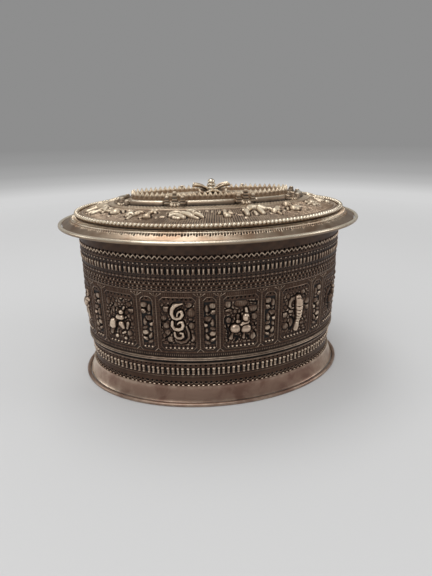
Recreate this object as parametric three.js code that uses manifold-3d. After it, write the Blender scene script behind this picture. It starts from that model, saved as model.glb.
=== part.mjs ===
// An oval silver paan box: a deep cover with framed panels, a wide flange and a domed top, which
// slides down over an inner wall and rests on a ledge above the flared foot.
// Millimetres, +Z up, +X along the oval's long axis, origin on the table under the middle of the box.
import * as THREE from "three";
import { mergeVertices } from "three/addons/utils/BufferGeometryUtils.js";
import Module from "manifold-3d";

const wasm = await Module();
wasm.setup();

// Plan of the oval, at the outer edge of the flange. The other ovals down to the dome's edge keep the same
// distance from it along both axes, so a ring is given by its reach, which is half its length.
const rimHalfLength = 75;
const rimHalfWidth = 54;
const ovalSqueeze = rimHalfLength - rimHalfWidth;
const ovalSteps = 40;
const wireSides = 6; // of a round wire's section, with a flat side underneath

// Sheet, joints and fits.
const coverSheet = 0.8;
const baseSheet = 0.8;
const flangeSheet = 0.8;
const domeSheet = 0.8;
const floorSheet = 1;
const solderGap = 0.3; // film between two pieces that are soldered together
const slideClearance = 0.35; // between the cover's wall and the inner wall
const restGap = 0.3; // between the cover's lower edge and the ledge

// Foot: a flared skirt with a rolled edge, soldered round the inner wall.
const footInset = 4.7; // from the flange's outer edge to the foot's
const footWireRadius = 0.9;
const flareHeight = 8.6;
const flareCollar = 1.6; // the upright part that hugs the wall
const flareLipHeight = 1.3; // where the skirt meets its rolled edge
const flareBendShares = [[0.72, 0.36], [0.3, 0.76]]; // [of the flare's spread, of its drop]

// Inner wall with its chased neck, the floor and the ledge that stops the cover.
const floorHeight = 6.2; // underside of the floor and lower edge of the wall
const ledgeTop = 21.6;
const ledgeDepth = 1.5;
const ledgeBevel = 0.35;
const neckRibHeight = 0.7;
const neckRibProud = 0.3;
const neckRibShares = [0.3, 0.82]; // where the neck's ribs lie between the flare and the ledge
const linerHeadroom = 6.4; // from the inner wall's top to the flange when the box is shut

// Cover's wall.
const flangeOverhang = 9.2; // from the flange's outer edge to the wall's face
const coverWallHeight = 60.4;
const hemHeight = 2.2;
const hemProud = 0.5;
const bandRibHeight = 0.8;
const bandRibProud = 0.35;
const bandRibShares = [0.612, 0.67, 0.785]; // heights of the ribs between the chased rows

// Framed panels round the cover's wall, parted by single ridges.
const panelCount = 12; // wide panels, each with a narrow one to its right
const panelShift = 5.6; // from the middle of the long side to the nearest wide panel's middle
const panelCrowding = 2.15; // how far the panels are drawn towards the front
const narrowPanelWidth = 9.25; // from ridge to ridge
const panelBottom = 6; // above the cover's lower edge
const panelHeight = 27.6;
const panelChamfer = 1.7; // of the corners, where the ridges meet in a Y
const frameWidth = 0.8;
const frameProud = 0.5;
const frameRoot = 0.35; // how deep ridges and figures are rooted in the sheet
const widePanelSteps = 3; // straight pieces that a wide panel's edge is bent in

// Raised figures: each lump is [along, up, wide, high], as shares of a wide panel's width and height.
const panelFigureRise = 1.9;
const lumpSides = 5;
const lumpTopShare = 0.55; // of a lump's size, the flat on its top
const roundBeastShares = [[-0.12, -0.11, 0.27, 0.18], [0.12, -0.13, 0.27, 0.17], [0.09, 0.06, 0.23, 0.25]];
const ringedCreatureShares = [[0.07, 0.12, 0.28, 0.34], [0.05, -0.15, 0.18, 0.28], [-0.13, 0.13, 0.24, 0.18]];
const rearingBeastShares = [[0.03, 0.05, 0.32, 0.18], [-0.16, -0.1, 0.26, 0.22], [0.08, -0.12, 0.24, 0.19]];
const snakeShares = [[-0.01, 0.2, 0.38, 0.32], [0, -0.05, 0.33, 0.22], [0.01, -0.23, 0.28, 0.18]];

// Flange with its rolled edge.
const rimWireRadius = 0.9;
const rimDrop = 3.3; // from the flange's inner land down to the rolled edge
const landReturn = 3.4; // how far the land runs in past the cover's wall
const landMargin = 0.9; // of the land outside the beaded wire
const flangeBendShares = [[0.66, 0.2], [0.3, 0.5]]; // [of the slope's width, of its rise]

// Domed top and the beaded wire round it.
const domeSetback = 1.2; // from the wall's face to the dome's edge
const domeEdge = 1.2; // height of the dome's upright edge
const domeRise = 7.1;
const domeShares = [[1, 0], [0.92, 0.18], [0.82, 0.41], [0.71, 0.61], [0.6, 0.76], [0.4, 0.9], [0, 1]];
const beadRadius = 1.1;
const beadWaistShare = 0.55; // of the bead's radius
const beadPitch = 1.88;

// Raised figures round the dome, each a body and a head: [along, inward, wide, high] as shares of its length.
const domeFigureCount = 16;
const domeFigureLength = 8;
const domeFigureInset = 8; // from the dome's edge to the figures' middles
const domeFigureRise = 1.7;
const domeFigureRoot = 0.3;
const domeFigureShares = [[-0.15, 0, 0.7, 0.56], [0.28, 0.12, 0.44, 0.4]];

// Ring of half-round bars tied by knots, and the pointed strip inside it. Both lie on slimmer ovals.
const ringInset = 18.6; // from the dome's edge to the bars
const ringHalfWidth = 18.6;
const ringShift = -3.4; // from the middle of the long side to the middle of the front bar
const barSpread = 4.4; // how far the knots beside it are pushed apart, which lengthens the front bar
const barCount = 8;
const barRadius = 1.6;
const barBase = 0.4; // upright part under the half round
const barSteps = 3;
const barArcSteps = 4;
const knotLength = 10.4; // length of the ring that each knot takes
const knotGap = 0.5;
const knotWidth = 6;
const knotTierHeight = 1.7;
const knotTierShares = [1, 0.66, 0.36]; // each tier's size, of the knot's
const leafLengthShare = 0.5; // of the knot's length
const stripInset = 7.4; // from the bars to the strip along the oval
const stripHalfWidth = 12.2;
const stripPitch = 2.5;
const stripHeight = 3.6;
const stripNotch = 1.7; // depth of the notches between its points
const stripThickness = 1.3;

// Rosette and bud at the crown.
const petalCount = 8;
const petalLength = 9.6;
const petalWidth = 4.6;
const petalHeight = 1.7;
const petalTilt = 0.3; // radians
const rosetteOvalShare = 0.8; // of its length, the rosette's width
const collarWidth = 1.1; // of the rosette's collar round the bud
const collarHeight = 1;
const budHeight = 6.5;
const budRadius = 2;
const budTierShares = [[1, 0.22], [0.72, 0.34], [0.86, 0.48], [0.6, 0.6], [0.68, 0.74], [0.5, 0.9]];
const budSteps = 12;

// Reaches and heights that follow from those sizes. Heights of the cover are measured from its lower edge.
const coverWallReach = rimHalfLength - flangeOverhang;
const linerReach = coverWallReach - coverSheet - slideClearance;
const linerTop = ledgeTop + restGap + coverWallHeight - linerHeadroom;
const footReach = rimHalfLength - footInset;
const landUnderside = coverWallHeight + solderGap;
const landTop = landUnderside + flangeSheet;
const domeReach = coverWallReach - domeSetback;
const beadReach = domeReach + solderGap + beadRadius;
const landReach = beadReach + beadRadius + landMargin;
const domeBase = landTop + solderGap;
const domeSpring = domeBase + domeEdge;
const domeCrown = domeSpring + domeRise;
const ringReach = domeReach - ringInset;
const stripReach = ringReach - stripInset;

// Half the width of the oval that has this reach. On the dome the ovals get slimmer towards the pointed
// strip, and inside it they keep one shape.
function halfWidthAt(reach) {
  const { mapLinear } = THREE.MathUtils;
  if (reach >= domeReach) return reach - ovalSqueeze;
  if (reach >= ringReach) {
    return mapLinear(reach, ringReach, domeReach, ringHalfWidth, domeReach - ovalSqueeze);
  }
  if (reach >= stripReach) return mapLinear(reach, stripReach, ringReach, stripHalfWidth, ringHalfWidth);
  return (reach / stripReach) * stripHalfWidth;
}

// Height of the dome's outer face over the oval of this reach.
function domeHeightAt(reach) {
  const share = reach / domeReach;
  const upper = domeShares.findIndex(([along]) => along <= share);
  if (upper < 1) return domeSpring;
  const [outerShare, outerRise] = domeShares[upper - 1];
  const [innerShare, innerRise] = domeShares[upper];
  const rise = THREE.MathUtils.mapLinear(share, outerShare, innerShare, outerRise, innerRise);
  return domeSpring + domeRise * rise;
}

// The oval line of this reach, for places at even steps of its length.
function ovalCurve(reach) {
  return new THREE.EllipseCurve(0, 0, reach, halfWidthAt(reach), -Math.PI / 2, (3 * Math.PI) / 2);
}

// A place on that oval: u runs from 0 to 1 round it from the middle of the front long side.
function ovalPlace(curve, u) {
  const spot = curve.getPointAt(THREE.MathUtils.euclideanModulo(u, 1));
  const out = new THREE.Vector2(spot.x / curve.xRadius ** 2, spot.y / curve.yRadius ** 2).normalize();
  return { spot, out, angle: Math.atan2(out.y, out.x) };
}

// Moves places that lie at even steps along an oval away from its front, or towards it if shift is negative.
// With one wave the back of the oval makes up for it, and with two waves its ends do.
function unevenAlong(along, girth, shift, waves) {
  return along + shift * Math.sin((2 * Math.PI * waves * along) / girth);
}

// A profile of [reach, height] points, anticlockwise with the outside on the right, turned round the oval.
function ovalTurned(profile) {
  const points = profile.map(([reach, height]) => new THREE.Vector2(reach, height));
  const geometry = new THREE.LatheGeometry(points, ovalSteps);
  geometry.rotateX(Math.PI / 2);
  const position = geometry.getAttribute("position");
  for (let i = 0; i < position.count; i++) {
    const reach = Math.hypot(position.getX(i), position.getY(i));
    if (reach > 0) position.setY(i, (position.getY(i) / reach) * halfWidthAt(reach));
  }
  return geometry;
}

function closed(profile) {
  return [...profile, profile[0]];
}

function wireSection(reach, height, radius) {
  return Array.from({ length: wireSides }, (_, i) => {
    const angle = (2 * Math.PI * i) / wireSides;
    return [reach + radius * Math.cos(angle), height + radius * Math.sin(angle)];
  });
}

// A skin through rings of points that closes on itself both ways, or has flat ends when it is open.
function loft(rings, open = false) {
  const sides = rings[0].length;
  const positions = rings.flat().flatMap((p) => [p.x, p.y, p.z]);
  const faces = [];
  const spans = open ? rings.length - 1 : rings.length;
  for (let i = 0; i < spans; i++) {
    for (let j = 0; j < sides; j++) {
      const here = i * sides;
      const next = ((i + 1) % rings.length) * sides;
      const k = (j + 1) % sides;
      faces.push(here + j, next + j, next + k, here + j, next + k, here + k);
    }
  }
  if (open) {
    const last = (rings.length - 1) * sides;
    for (let j = 1; j < sides - 1; j++) {
      faces.push(0, j, j + 1, last, last + j + 1, last + j);
    }
  }
  const geometry = new THREE.BufferGeometry();
  geometry.setAttribute("position", new THREE.Float32BufferAttribute(positions, 3));
  geometry.setIndex(faces);
  return geometry;
}

// Geometry to solid and back, for joins and cuts.
function solidOf(geometry) {
  const bare = new THREE.BufferGeometry();
  bare.setAttribute("position", geometry.getAttribute("position"));
  bare.setIndex(geometry.getIndex());
  const merged = mergeVertices(bare);
  const vertProperties = merged.getAttribute("position").array;
  const triVerts = new Uint32Array(merged.getIndex().array);
  return new wasm.Manifold(new wasm.Mesh({ numProp: 3, vertProperties, triVerts }));
}

function geometryOf(solid) {
  const mesh = solid.getMesh();
  const geometry = new THREE.BufferGeometry();
  geometry.setAttribute("position", new THREE.BufferAttribute(mesh.vertProperties, 3));
  geometry.setIndex(new THREE.BufferAttribute(mesh.triVerts, 1));
  return geometry;
}

function joined(geometries) {
  return geometryOf(geometries.map(solidOf).reduce((whole, next) => whole.add(next)));
}

const silver = { color: 0xa2968a, roughness: 0.34, metalness: 1 };
const darkSilver = { color: 0x6d6259, roughness: 0.45, metalness: 1 };
const brightSilver = { color: 0xc9bba6, roughness: 0.26, metalness: 1 };

function piece(name, geometry, finish) {
  geometry.computeVertexNormals();
  const mesh = new THREE.Mesh(geometry, new THREE.MeshStandardMaterial(finish));
  mesh.name = name;
  return mesh;
}

function footWire() {
  const flatRise = footWireRadius * Math.cos(Math.PI / wireSides);
  const section = wireSection(footReach - footWireRadius, flatRise, footWireRadius);
  return piece("foot_wire", ovalTurned(closed(section)), silver);
}

function footFlare() {
  const top = linerReach + solderGap;
  const bottom = footReach - 2 * footWireRadius - solderGap - baseSheet;
  const drop = flareHeight - flareCollar - flareLipHeight;
  const bend = flareBendShares.map(([spread, fall]) => [
    top + (bottom - top) * (1 - spread),
    flareHeight - flareCollar - drop * fall,
  ]).sort((a, b) => b[0] - a[0]);
  const inner = [[bottom, flareLipHeight], ...bend, [top, flareHeight - flareCollar], [top, flareHeight]];
  const outer = inner.map(([reach, height]) => [reach + baseSheet, height]);
  return piece("foot_flare", ovalTurned(closed([...outer, ...inner.reverse()])), silver);
}

function innerWall() {
  const neck = ledgeTop - ledgeDepth - flareHeight;
  const ribs = neckRibShares.flatMap((share) => {
    const middle = flareHeight + neck * share;
    return [
      [linerReach, middle - neckRibHeight / 2],
      [linerReach + neckRibProud, middle],
      [linerReach, middle + neckRibHeight / 2],
    ];
  });
  const inside = linerReach - baseSheet;
  const profile = [
    [linerReach, floorHeight], ...ribs, [linerReach, linerTop], [inside, linerTop], [inside, floorHeight],
  ];
  return piece("inner_wall", ovalTurned(closed(profile)), darkSilver);
}

function floorPlate() {
  const reach = linerReach - baseSheet - solderGap;
  const top = floorHeight + floorSheet;
  const profile = [[0, floorHeight], [reach, floorHeight], [reach, top], [0, top]];
  return piece("floor_plate", ovalTurned(profile), darkSilver);
}

function ledgeWire() {
  const inside = linerReach + solderGap;
  const bottom = ledgeTop - ledgeDepth;
  const profile = [
    [inside, bottom], [coverWallReach - ledgeBevel, bottom], [coverWallReach, bottom + ledgeDepth / 2],
    [coverWallReach, ledgeTop], [inside, ledgeTop],
  ];
  return piece("ledge_wire", ovalTurned(closed(profile)), silver);
}

// Gives the place on the cover's wall of a point this far along it and up it, and this proud of its face.
function wallWrap() {
  const curve = ovalCurve(coverWallReach);
  const girth = curve.getLength();
  return ([along, height], proud) => {
    const { spot, out } = ovalPlace(curve, unevenAlong(along, girth, -panelCrowding, 1) / girth);
    return new THREE.Vector3(spot.x + out.x * proud, spot.y + out.y * proud, height);
  };
}

// A closed ridge along the panels' upper or lower edges, which dips to each upright ridge at the corners.
function panelRail(wrap, edge, dip, module) {
  const narrow = narrowPanelWidth / 2;
  const wide = (module - narrowPanelWidth) / 2;
  const half = wide - panelChamfer;
  const path = Array.from({ length: panelCount }, (_, i) => {
    const middle = panelShift + module * i;
    const next = middle + module / 2;
    return [
      [middle - wide, edge + dip],
      ...Array.from({ length: widePanelSteps + 1 }, (_, k) => [
        middle - half + (2 * half * k) / widePanelSteps, edge,
      ]),
      [middle + wide, edge + dip], [next - narrow + panelChamfer, edge], [next + narrow - panelChamfer, edge],
    ];
  }).flat();
  return loft(path.map(([along, height]) => [
    wrap([along, height - frameWidth / 2], -frameRoot), wrap([along, height], frameProud),
    wrap([along, height + frameWidth / 2], -frameRoot),
  ]));
}

// The upright ridge between two panels. It runs a little way into the ridges above and below it.
function panelPost(wrap, along, lower, upper) {
  return loft([lower, upper].map((height) => [
    wrap([along + frameWidth / 2, height], -frameRoot), wrap([along, height], frameProud),
    wrap([along - frameWidth / 2, height], -frameRoot),
  ]), true);
}

// A low faceted lump on the surface that wrap maps flat places to.
function lump(wrap, [along, up, wide, high], rise, root) {
  const ring = (size, proud) => Array.from({ length: lumpSides }, (_, i) => {
    const angle = (2 * Math.PI * i) / lumpSides;
    return wrap([
      along + (wide / 2) * size * Math.cos(angle), up + (high / 2) * size * Math.sin(angle),
    ], proud);
  });
  return loft([ring(lumpTopShare, rise), ring(1, -root)], true);
}

function coverWall() {
  const inside = coverWallReach - coverSheet;
  const ribs = bandRibShares.flatMap((share) => {
    const middle = coverWallHeight * share;
    return [
      [coverWallReach, middle - bandRibHeight / 2],
      [coverWallReach + bandRibProud, middle],
      [coverWallReach, middle + bandRibHeight / 2],
    ];
  });
  const wall = ovalTurned(closed([
    [coverWallReach, 0], ...ribs, [coverWallReach, coverWallHeight], [inside, coverWallHeight], [inside, 0],
  ]));
  const module = ovalCurve(coverWallReach).getLength() / panelCount;
  const wide = module - narrowPanelWidth;
  const wrap = wallWrap();
  const panelTop = panelBottom + panelHeight;
  const rails = [
    panelRail(wrap, panelBottom, panelChamfer, module), panelRail(wrap, panelTop, -panelChamfer, module),
  ];
  const ends = [panelBottom + panelChamfer - frameWidth / 4, panelTop - panelChamfer + frameWidth / 4];
  const posts = Array.from({ length: panelCount }, (_, i) => [-wide / 2, wide / 2].map((side) => (
    panelPost(wrap, panelShift + module * i + side, ...ends)
  ))).flat();
  const figures = [roundBeastShares, ringedCreatureShares, rearingBeastShares, snakeShares];
  const lumps = Array.from({ length: panelCount }, (_, i) => (
    figures[i % figures.length].map(([along, up, across, high]) => lump(wrap, [
      panelShift + module * i + along * wide, panelBottom + panelHeight * (1 / 2 + up),
      across * wide, high * panelHeight,
    ], panelFigureRise, frameRoot))
  )).flat();
  return piece("cover_wall", joined([wall, ...rails, ...posts, ...lumps]), darkSilver);
}

function hemWire() {
  const inside = coverWallReach + solderGap;
  const profile = [
    [inside, 0], [inside + hemProud / 2, 0], [inside + hemProud, hemHeight / 2],
    [inside + hemProud / 2, hemHeight], [inside, hemHeight],
  ];
  return piece("hem_wire", ovalTurned(closed(profile)), silver);
}

function flangePlate() {
  const outer = rimHalfLength - 2 * rimWireRadius - solderGap;
  const slope = outer - landReach;
  const rise = rimDrop - flangeSheet / 2;
  const bend = flangeBendShares.map(([across, up]) => [
    landReach + slope * across, landTop - rise * (1 - up),
  ]);
  const inside = coverWallReach - landReturn;
  const top = [[outer, landTop - rise], ...bend, [landReach, landTop], [inside, landTop]];
  const under = top.map(([reach, height]) => [reach, height - flangeSheet]).reverse();
  return piece("flange_plate", ovalTurned(closed([...top, ...under])), silver);
}

function rimWire() {
  const section = wireSection(rimHalfLength - rimWireRadius, landTop - rimDrop, rimWireRadius);
  return piece("rim_wire", ovalTurned(closed(section)), brightSilver);
}

function domeGeometry() {
  const outside = domeShares.map(([along]) => [domeReach * along, domeHeightAt(domeReach * along)]);
  const inReach = domeReach - domeSheet;
  const inside = domeShares.filter((_, i) => i % 2).map(([along]) => [
    inReach * along, domeHeightAt(domeReach * along) - domeSheet,
  ]);
  return ovalTurned([
    [0, domeCrown - domeSheet], ...inside.reverse(), [inReach, domeSpring - domeSheet],
    [inReach, domeBase], [domeReach, domeBase], ...outside,
  ]);
}

// Gives the place of a point this far along the figures' oval, this far inward of it and this proud of the
// dome's face.
function domeWrap([along, inward], proud) {
  const reach = domeReach - domeFigureInset;
  const { spot } = ovalPlace(ovalCurve(reach - inward), along / ovalCurve(reach).getLength());
  return new THREE.Vector3(spot.x, spot.y, domeHeightAt(reach - inward) + proud);
}

function domePlate() {
  const step = ovalCurve(domeReach - domeFigureInset).getLength() / domeFigureCount;
  const lumps = Array.from({ length: domeFigureCount }, (_, i) => (
    domeFigureShares.map(([along, inward, wide, high]) => lump(domeWrap, [
      step * i + along * domeFigureLength, inward * domeFigureLength,
      wide * domeFigureLength, high * domeFigureLength,
    ], domeFigureRise, domeFigureRoot))
  )).flat();
  return piece("dome_plate", joined([domeGeometry(), ...lumps]), silver);
}

// The space that the dome and its solder take from whatever sits on it.
function domeSeat() {
  const outside = domeShares.map(([along]) => [
    domeReach * along, domeHeightAt(domeReach * along) + solderGap,
  ]);
  return solidOf(ovalTurned([[0, domeBase], [domeReach, domeBase], ...outside]));
}

// Cuts that space out of a piece, so that it seats all over.
function seatedOnDome(geometries) {
  return geometryOf(solidOf(joined(geometries)).subtract(domeSeat()));
}

function beadedWire() {
  const curve = ovalCurve(beadReach);
  const count = Math.round(curve.getLength() / beadPitch);
  const rings = Array.from({ length: 2 * count }, (_, i) => {
    const { spot, out } = ovalPlace(curve, i / (2 * count));
    const radius = i % 2 ? beadRadius * beadWaistShare : beadRadius;
    const middle = landTop + solderGap + beadRadius;
    return [[1, -1], [0, 1], [-1, -1]].map(([across, up]) => new THREE.Vector3(
      spot.x + out.x * radius * across, spot.y + out.y * radius * across, middle + radius * up,
    ));
  });
  return piece("beaded_wire", loft(rings), brightSilver);
}

// How far along the ring a knot's middle is, from the middle of the long side.
function knotAlong(index, girth) {
  return ringShift + unevenAlong(((index + 1 / 2) * girth) / barCount, girth, barSpread, 2);
}

// A half-round bar that follows the ring between two knots, with its underside laid to the dome's slope.
function ringBar(index) {
  const curve = ovalCurve(ringReach);
  const girth = curve.getLength();
  const start = knotAlong(index - 1, girth) + knotLength / 2;
  const end = knotAlong(index, girth) - knotLength / 2;
  const shoulder = domeHeightAt(ringReach - barRadius) + solderGap + barBase;
  const arc = Array.from({ length: barArcSteps + 1 }, (_, i) => {
    const angle = (Math.PI * i) / barArcSteps;
    return [barRadius * Math.cos(angle), shoulder + barRadius * Math.sin(angle)];
  });
  const seat = [-barRadius, barRadius].map((across) => [
    across, domeHeightAt(ringReach + across) + solderGap,
  ]);
  const rings = Array.from({ length: barSteps + 1 }, (_, i) => {
    const { spot, out } = ovalPlace(curve, THREE.MathUtils.lerp(start, end, i / barSteps) / girth);
    return [...arc, ...seat].map(([across, height]) => new THREE.Vector3(
      spot.x + out.x * across, spot.y + out.y * across, height,
    ));
  });
  return piece(`ring_bar_${index + 1}`, loft(rings, true), brightSilver);
}

// A knot between two bars: three lozenges, one on another, with a leaf to each side.
function ringKnot(index) {
  const curve = ovalCurve(ringReach);
  const girth = curve.getLength();
  const { spot, angle } = ovalPlace(curve, knotAlong(index, girth) / girth);
  const seat = domeHeightAt(ringReach);
  const length = knotLength - 2 * knotGap;
  const tiers = knotTierShares.map((share, i) => {
    const tier = new THREE.OctahedronGeometry(0.5, 0);
    tier.scale(knotWidth * share, length * share, 2 * knotTierHeight);
    tier.translate(0, 0, i * knotTierHeight);
    return tier;
  });
  const leaves = [-1, 1].map((side) => {
    const leaf = new THREE.OctahedronGeometry(0.5, 0);
    leaf.scale(knotWidth, length * leafLengthShare, 2 * knotTierHeight);
    leaf.translate(0, (side * length * (1 - leafLengthShare)) / 2, 0);
    return leaf;
  });
  const shapes = [...tiers, ...leaves].map((shape) => {
    const turned = mergeVertices(shape.deleteAttribute("normal").deleteAttribute("uv"));
    turned.rotateZ(angle);
    turned.translate(spot.x, spot.y, seat);
    return turned;
  });
  return piece(`ring_knot_${index + 1}`, seatedOnDome(shapes), silver);
}

// An upright strip inside the bars whose upper edge is a row of points.
function pointedStrip() {
  const curve = ovalCurve(stripReach);
  const count = Math.round(curve.getLength() / stripPitch);
  const half = stripThickness / 2;
  const innerReach = stripReach - (half * stripReach) / halfWidthAt(stripReach);
  const top = domeHeightAt(stripReach) + solderGap + stripHeight;
  const rings = Array.from({ length: 2 * count }, (_, i) => {
    const { spot, out } = ovalPlace(curve, i / (2 * count));
    const place = (across, height) => new THREE.Vector3(
      spot.x + out.x * across, spot.y + out.y * across, height,
    );
    return [
      place(half, domeHeightAt(stripReach + half) + solderGap),
      place(0, i % 2 ? top - stripNotch : top),
      place(-half, domeHeightAt(innerReach) + solderGap),
    ];
  });
  return piece("pointed_strip", loft(rings), silver);
}

// Rounded petals round the crown, lifted at their tips.
function rosette() {
  const petals = Array.from({ length: petalCount }, (_, i) => {
    const petal = new THREE.SphereGeometry(0.5, 6, 4);
    petal.rotateZ(Math.PI / 2);
    petal.scale(petalLength, petalWidth, petalHeight);
    petal.translate(petalLength / 2, 0, 0);
    petal.rotateY(-petalTilt);
    petal.rotateZ((2 * Math.PI * i) / petalCount);
    petal.scale(1, rosetteOvalShare, 1);
    petal.translate(0, 0, domeCrown + solderGap);
    return petal;
  });
  const collarRadius = budRadius + solderGap + collarWidth;
  const collar = new THREE.CylinderGeometry(collarRadius, collarRadius, collarHeight, budSteps);
  collar.rotateX(Math.PI / 2);
  collar.translate(0, 0, domeCrown + solderGap + collarHeight / 2);
  const seated = solidOf(seatedOnDome([...petals, collar]));
  return piece("rosette", geometryOf(seated.subtract(solidOf(budGeometry(solderGap)))), silver);
}

// The tiered bud, or the hole that it stands in when it is made wider by a gap.
function budGeometry(gap = 0) {
  const foot = domeCrown + solderGap;
  const tiers = budTierShares.map(([wide, high]) => (
    new THREE.Vector2(budRadius * wide + gap, budHeight * high)
  ));
  const bud = new THREE.LatheGeometry([
    new THREE.Vector2(0, -gap), new THREE.Vector2(budRadius + gap, -gap), ...tiers,
    new THREE.Vector2(0, budHeight + gap),
  ], budSteps);
  bud.rotateX(Math.PI / 2);
  bud.translate(0, 0, foot);
  return bud;
}

function finialBud() {
  return piece("finial_bud", budGeometry(), brightSilver);
}

const base = new THREE.Group();
base.add(footWire(), footFlare(), innerWall(), floorPlate(), ledgeWire());

const cover = new THREE.Group();
cover.position.z = ledgeTop + restGap;
cover.add(coverWall(), hemWire(), flangePlate(), rimWire());
cover.add(domePlate(), beadedWire(), pointedStrip(), rosette(), finialBud());
for (let i = 0; i < barCount; i++) cover.add(ringBar(i), ringKnot(i));

const paanBox = new THREE.Group();
paanBox.add(base, cover);

export default paanBox;
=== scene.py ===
# Oval silver paan box: chased walls, framed animals and a domed lid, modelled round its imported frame.
# Lengths in the dictionaries are millimetres, heights are over the table. Meshes are written in metres.
import math
import random

import bpy
import numpy as np
from mathutils import Matrix, Vector


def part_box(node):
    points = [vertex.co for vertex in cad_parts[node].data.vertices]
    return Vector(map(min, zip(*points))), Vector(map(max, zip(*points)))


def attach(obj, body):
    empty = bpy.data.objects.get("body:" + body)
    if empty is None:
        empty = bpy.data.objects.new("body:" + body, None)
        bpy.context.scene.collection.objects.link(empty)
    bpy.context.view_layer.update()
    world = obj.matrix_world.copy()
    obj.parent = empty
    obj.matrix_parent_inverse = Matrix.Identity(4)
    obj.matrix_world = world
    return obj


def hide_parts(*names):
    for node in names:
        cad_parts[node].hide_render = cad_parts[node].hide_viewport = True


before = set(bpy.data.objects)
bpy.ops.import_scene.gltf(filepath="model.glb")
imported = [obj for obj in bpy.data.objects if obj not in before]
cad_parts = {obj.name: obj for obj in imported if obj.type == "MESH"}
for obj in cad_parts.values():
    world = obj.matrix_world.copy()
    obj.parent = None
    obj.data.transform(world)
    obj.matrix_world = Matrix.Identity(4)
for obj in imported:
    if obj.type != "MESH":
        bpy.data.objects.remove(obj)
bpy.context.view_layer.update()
mm = 0.001


# Sizes that the frame gives

def cornersOf(node):
    low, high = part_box(node)
    return low / mm, high / mm


_, footHigh = cornersOf("foot_wire")
_, flareHigh = cornersOf("foot_flare")
floorLow, floorHigh = cornersOf("floor_plate")
linerLow, linerHigh = cornersOf("inner_wall")
ledgeLow, ledgeHigh = cornersOf("ledge_wire")
hemLow, hemHigh = cornersOf("hem_wire")
wallLow, wallHigh = cornersOf("cover_wall")
_, flangeHigh = cornersOf("flange_plate")
rimLow, rimHigh = cornersOf("rim_wire")
domeLow, domeHigh = cornersOf("dome_plate")
beadLow, beadHigh = cornersOf("beaded_wire")
_, stripHigh = cornersOf("pointed_strip")
barLow, _ = cornersOf("ring_bar_1")
_, endBarHigh = cornersOf("ring_bar_3")
rosetteLow, _ = cornersOf("rosette")
budLow, budHigh = cornersOf("finial_bud")

sheet = {
    "thickness": 0.8,
    "solder": 0.3,  # film between two soldered pieces
    "stripHalf": 0.65,  # half the pointed strip's thickness
    "barRadius": 1.6,
}
wallReach = ledgeHigh.x
linerReach = floorHigh.x + sheet["solder"] + sheet["thickness"]
domeReach = domeHigh.x
ringReach = endBarHigh.x - sheet["barRadius"]
stripReach = stripHigh.x - sheet["stripHalf"]
ovals = np.array([  # half length and half width of the ovals that the frame shows
    (0, 0), (stripReach, stripHigh.y - sheet["stripHalf"]), (ringReach, -barLow.y - sheet["barRadius"]),
    (domeReach, domeHigh.y), (rimHigh.x, rimHigh.y), (rimHigh.x + 10, rimHigh.y + 10),
])


# Places on the ovals

def halfWidthAt(reach):
    return np.interp(reach, ovals[:, 0], ovals[:, 1])


def evenAngles(reach, columns, start=0.0, length=None):  # angles at even steps along the oval
    fine = np.linspace(-math.pi / 2, 1.5 * math.pi, 20001)  # from the middle of the front, towards +X
    run = np.hypot(np.diff(reach * np.cos(fine)), np.diff(halfWidthAt(reach) * np.sin(fine)))
    run = np.concatenate([[0], np.cumsum(run)])
    along = start + np.linspace(0, run[-1] if length is None else length, columns + 1)
    turns = np.floor(along / run[-1] + 1e-9)
    return np.interp(along - turns * run[-1], run, fine), along


def girthOf(reach):
    return evenAngles(reach, 4)[1][-1]


def placeAt(reach, along):  # plan point and outward direction at this many mm from the front
    angle = evenAngles(reach, 1, along, 0)[0][0]
    half = halfWidthAt(reach)
    spot = Vector((reach * math.cos(angle), half * math.sin(angle), 0))
    out = Vector((math.cos(angle) / reach, math.sin(angle) / half, 0)).normalized()
    return spot, out


def unevenAlong(along, girth, shift, waves):  # the same drift of repeats that the frame has
    return along + shift * np.sin(waves * 2 * math.pi * along / girth)


def smoothThrough(points, places):  # a smooth line through points in order of their first number
    known = np.array(points, float)
    x, y = known[:, 0], known[:, 1]
    slope = np.gradient(y, x)
    k = np.clip(np.searchsorted(x, places) - 1, 0, len(x) - 2)
    step = x[k + 1] - x[k]
    t = (places - x[k]) / step
    rise = y[k + 1] - y[k]
    bend = (slope[k] * step - rise) * (1 - t) - (slope[k + 1] * step - rise) * t
    return y[k] + rise * t + t * (1 - t) * bend


domeForm = {
    "edge": 1.2,
    "riseShares": [(0, 1), (0.4, 0.9), (0.6, 0.76), (0.71, 0.61), (0.82, 0.41), (0.92, 0.18), (1, 0)],
}


def domeHeight(reach):
    spring = domeLow.z + domeForm["edge"]
    share = smoothThrough(domeForm["riseShares"], np.asarray(reach, float) / domeReach)
    return spring + (domeHigh.z - spring) * share


def alongProfile(points, step):  # the same line with a point about every step
    known = np.array(points, float)
    run = np.concatenate([[0], np.cumsum(np.hypot(*np.diff(known, axis=0).T))])
    places = np.linspace(0, run[-1], max(2, round(run[-1] / step) + 1))
    return np.column_stack([np.interp(places, run, known[:, i]) for i in (0, 1)])


# Mesh work

def deselectAll():
    if bpy.context.object and bpy.context.object.mode != "OBJECT":
        bpy.ops.object.mode_set(mode="OBJECT")
    bpy.ops.object.select_all(action="DESELECT")


def active(name):
    made = bpy.context.object
    made.name = name
    made.data.name = name
    return made


def pick(thing):
    deselectAll()
    thing.select_set(True)
    bpy.context.view_layer.objects.active = thing


def applyAll(thing):
    pick(thing)
    for modifier in list(thing.modifiers):
        bpy.ops.object.modifier_apply(modifier=modifier.name)


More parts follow.
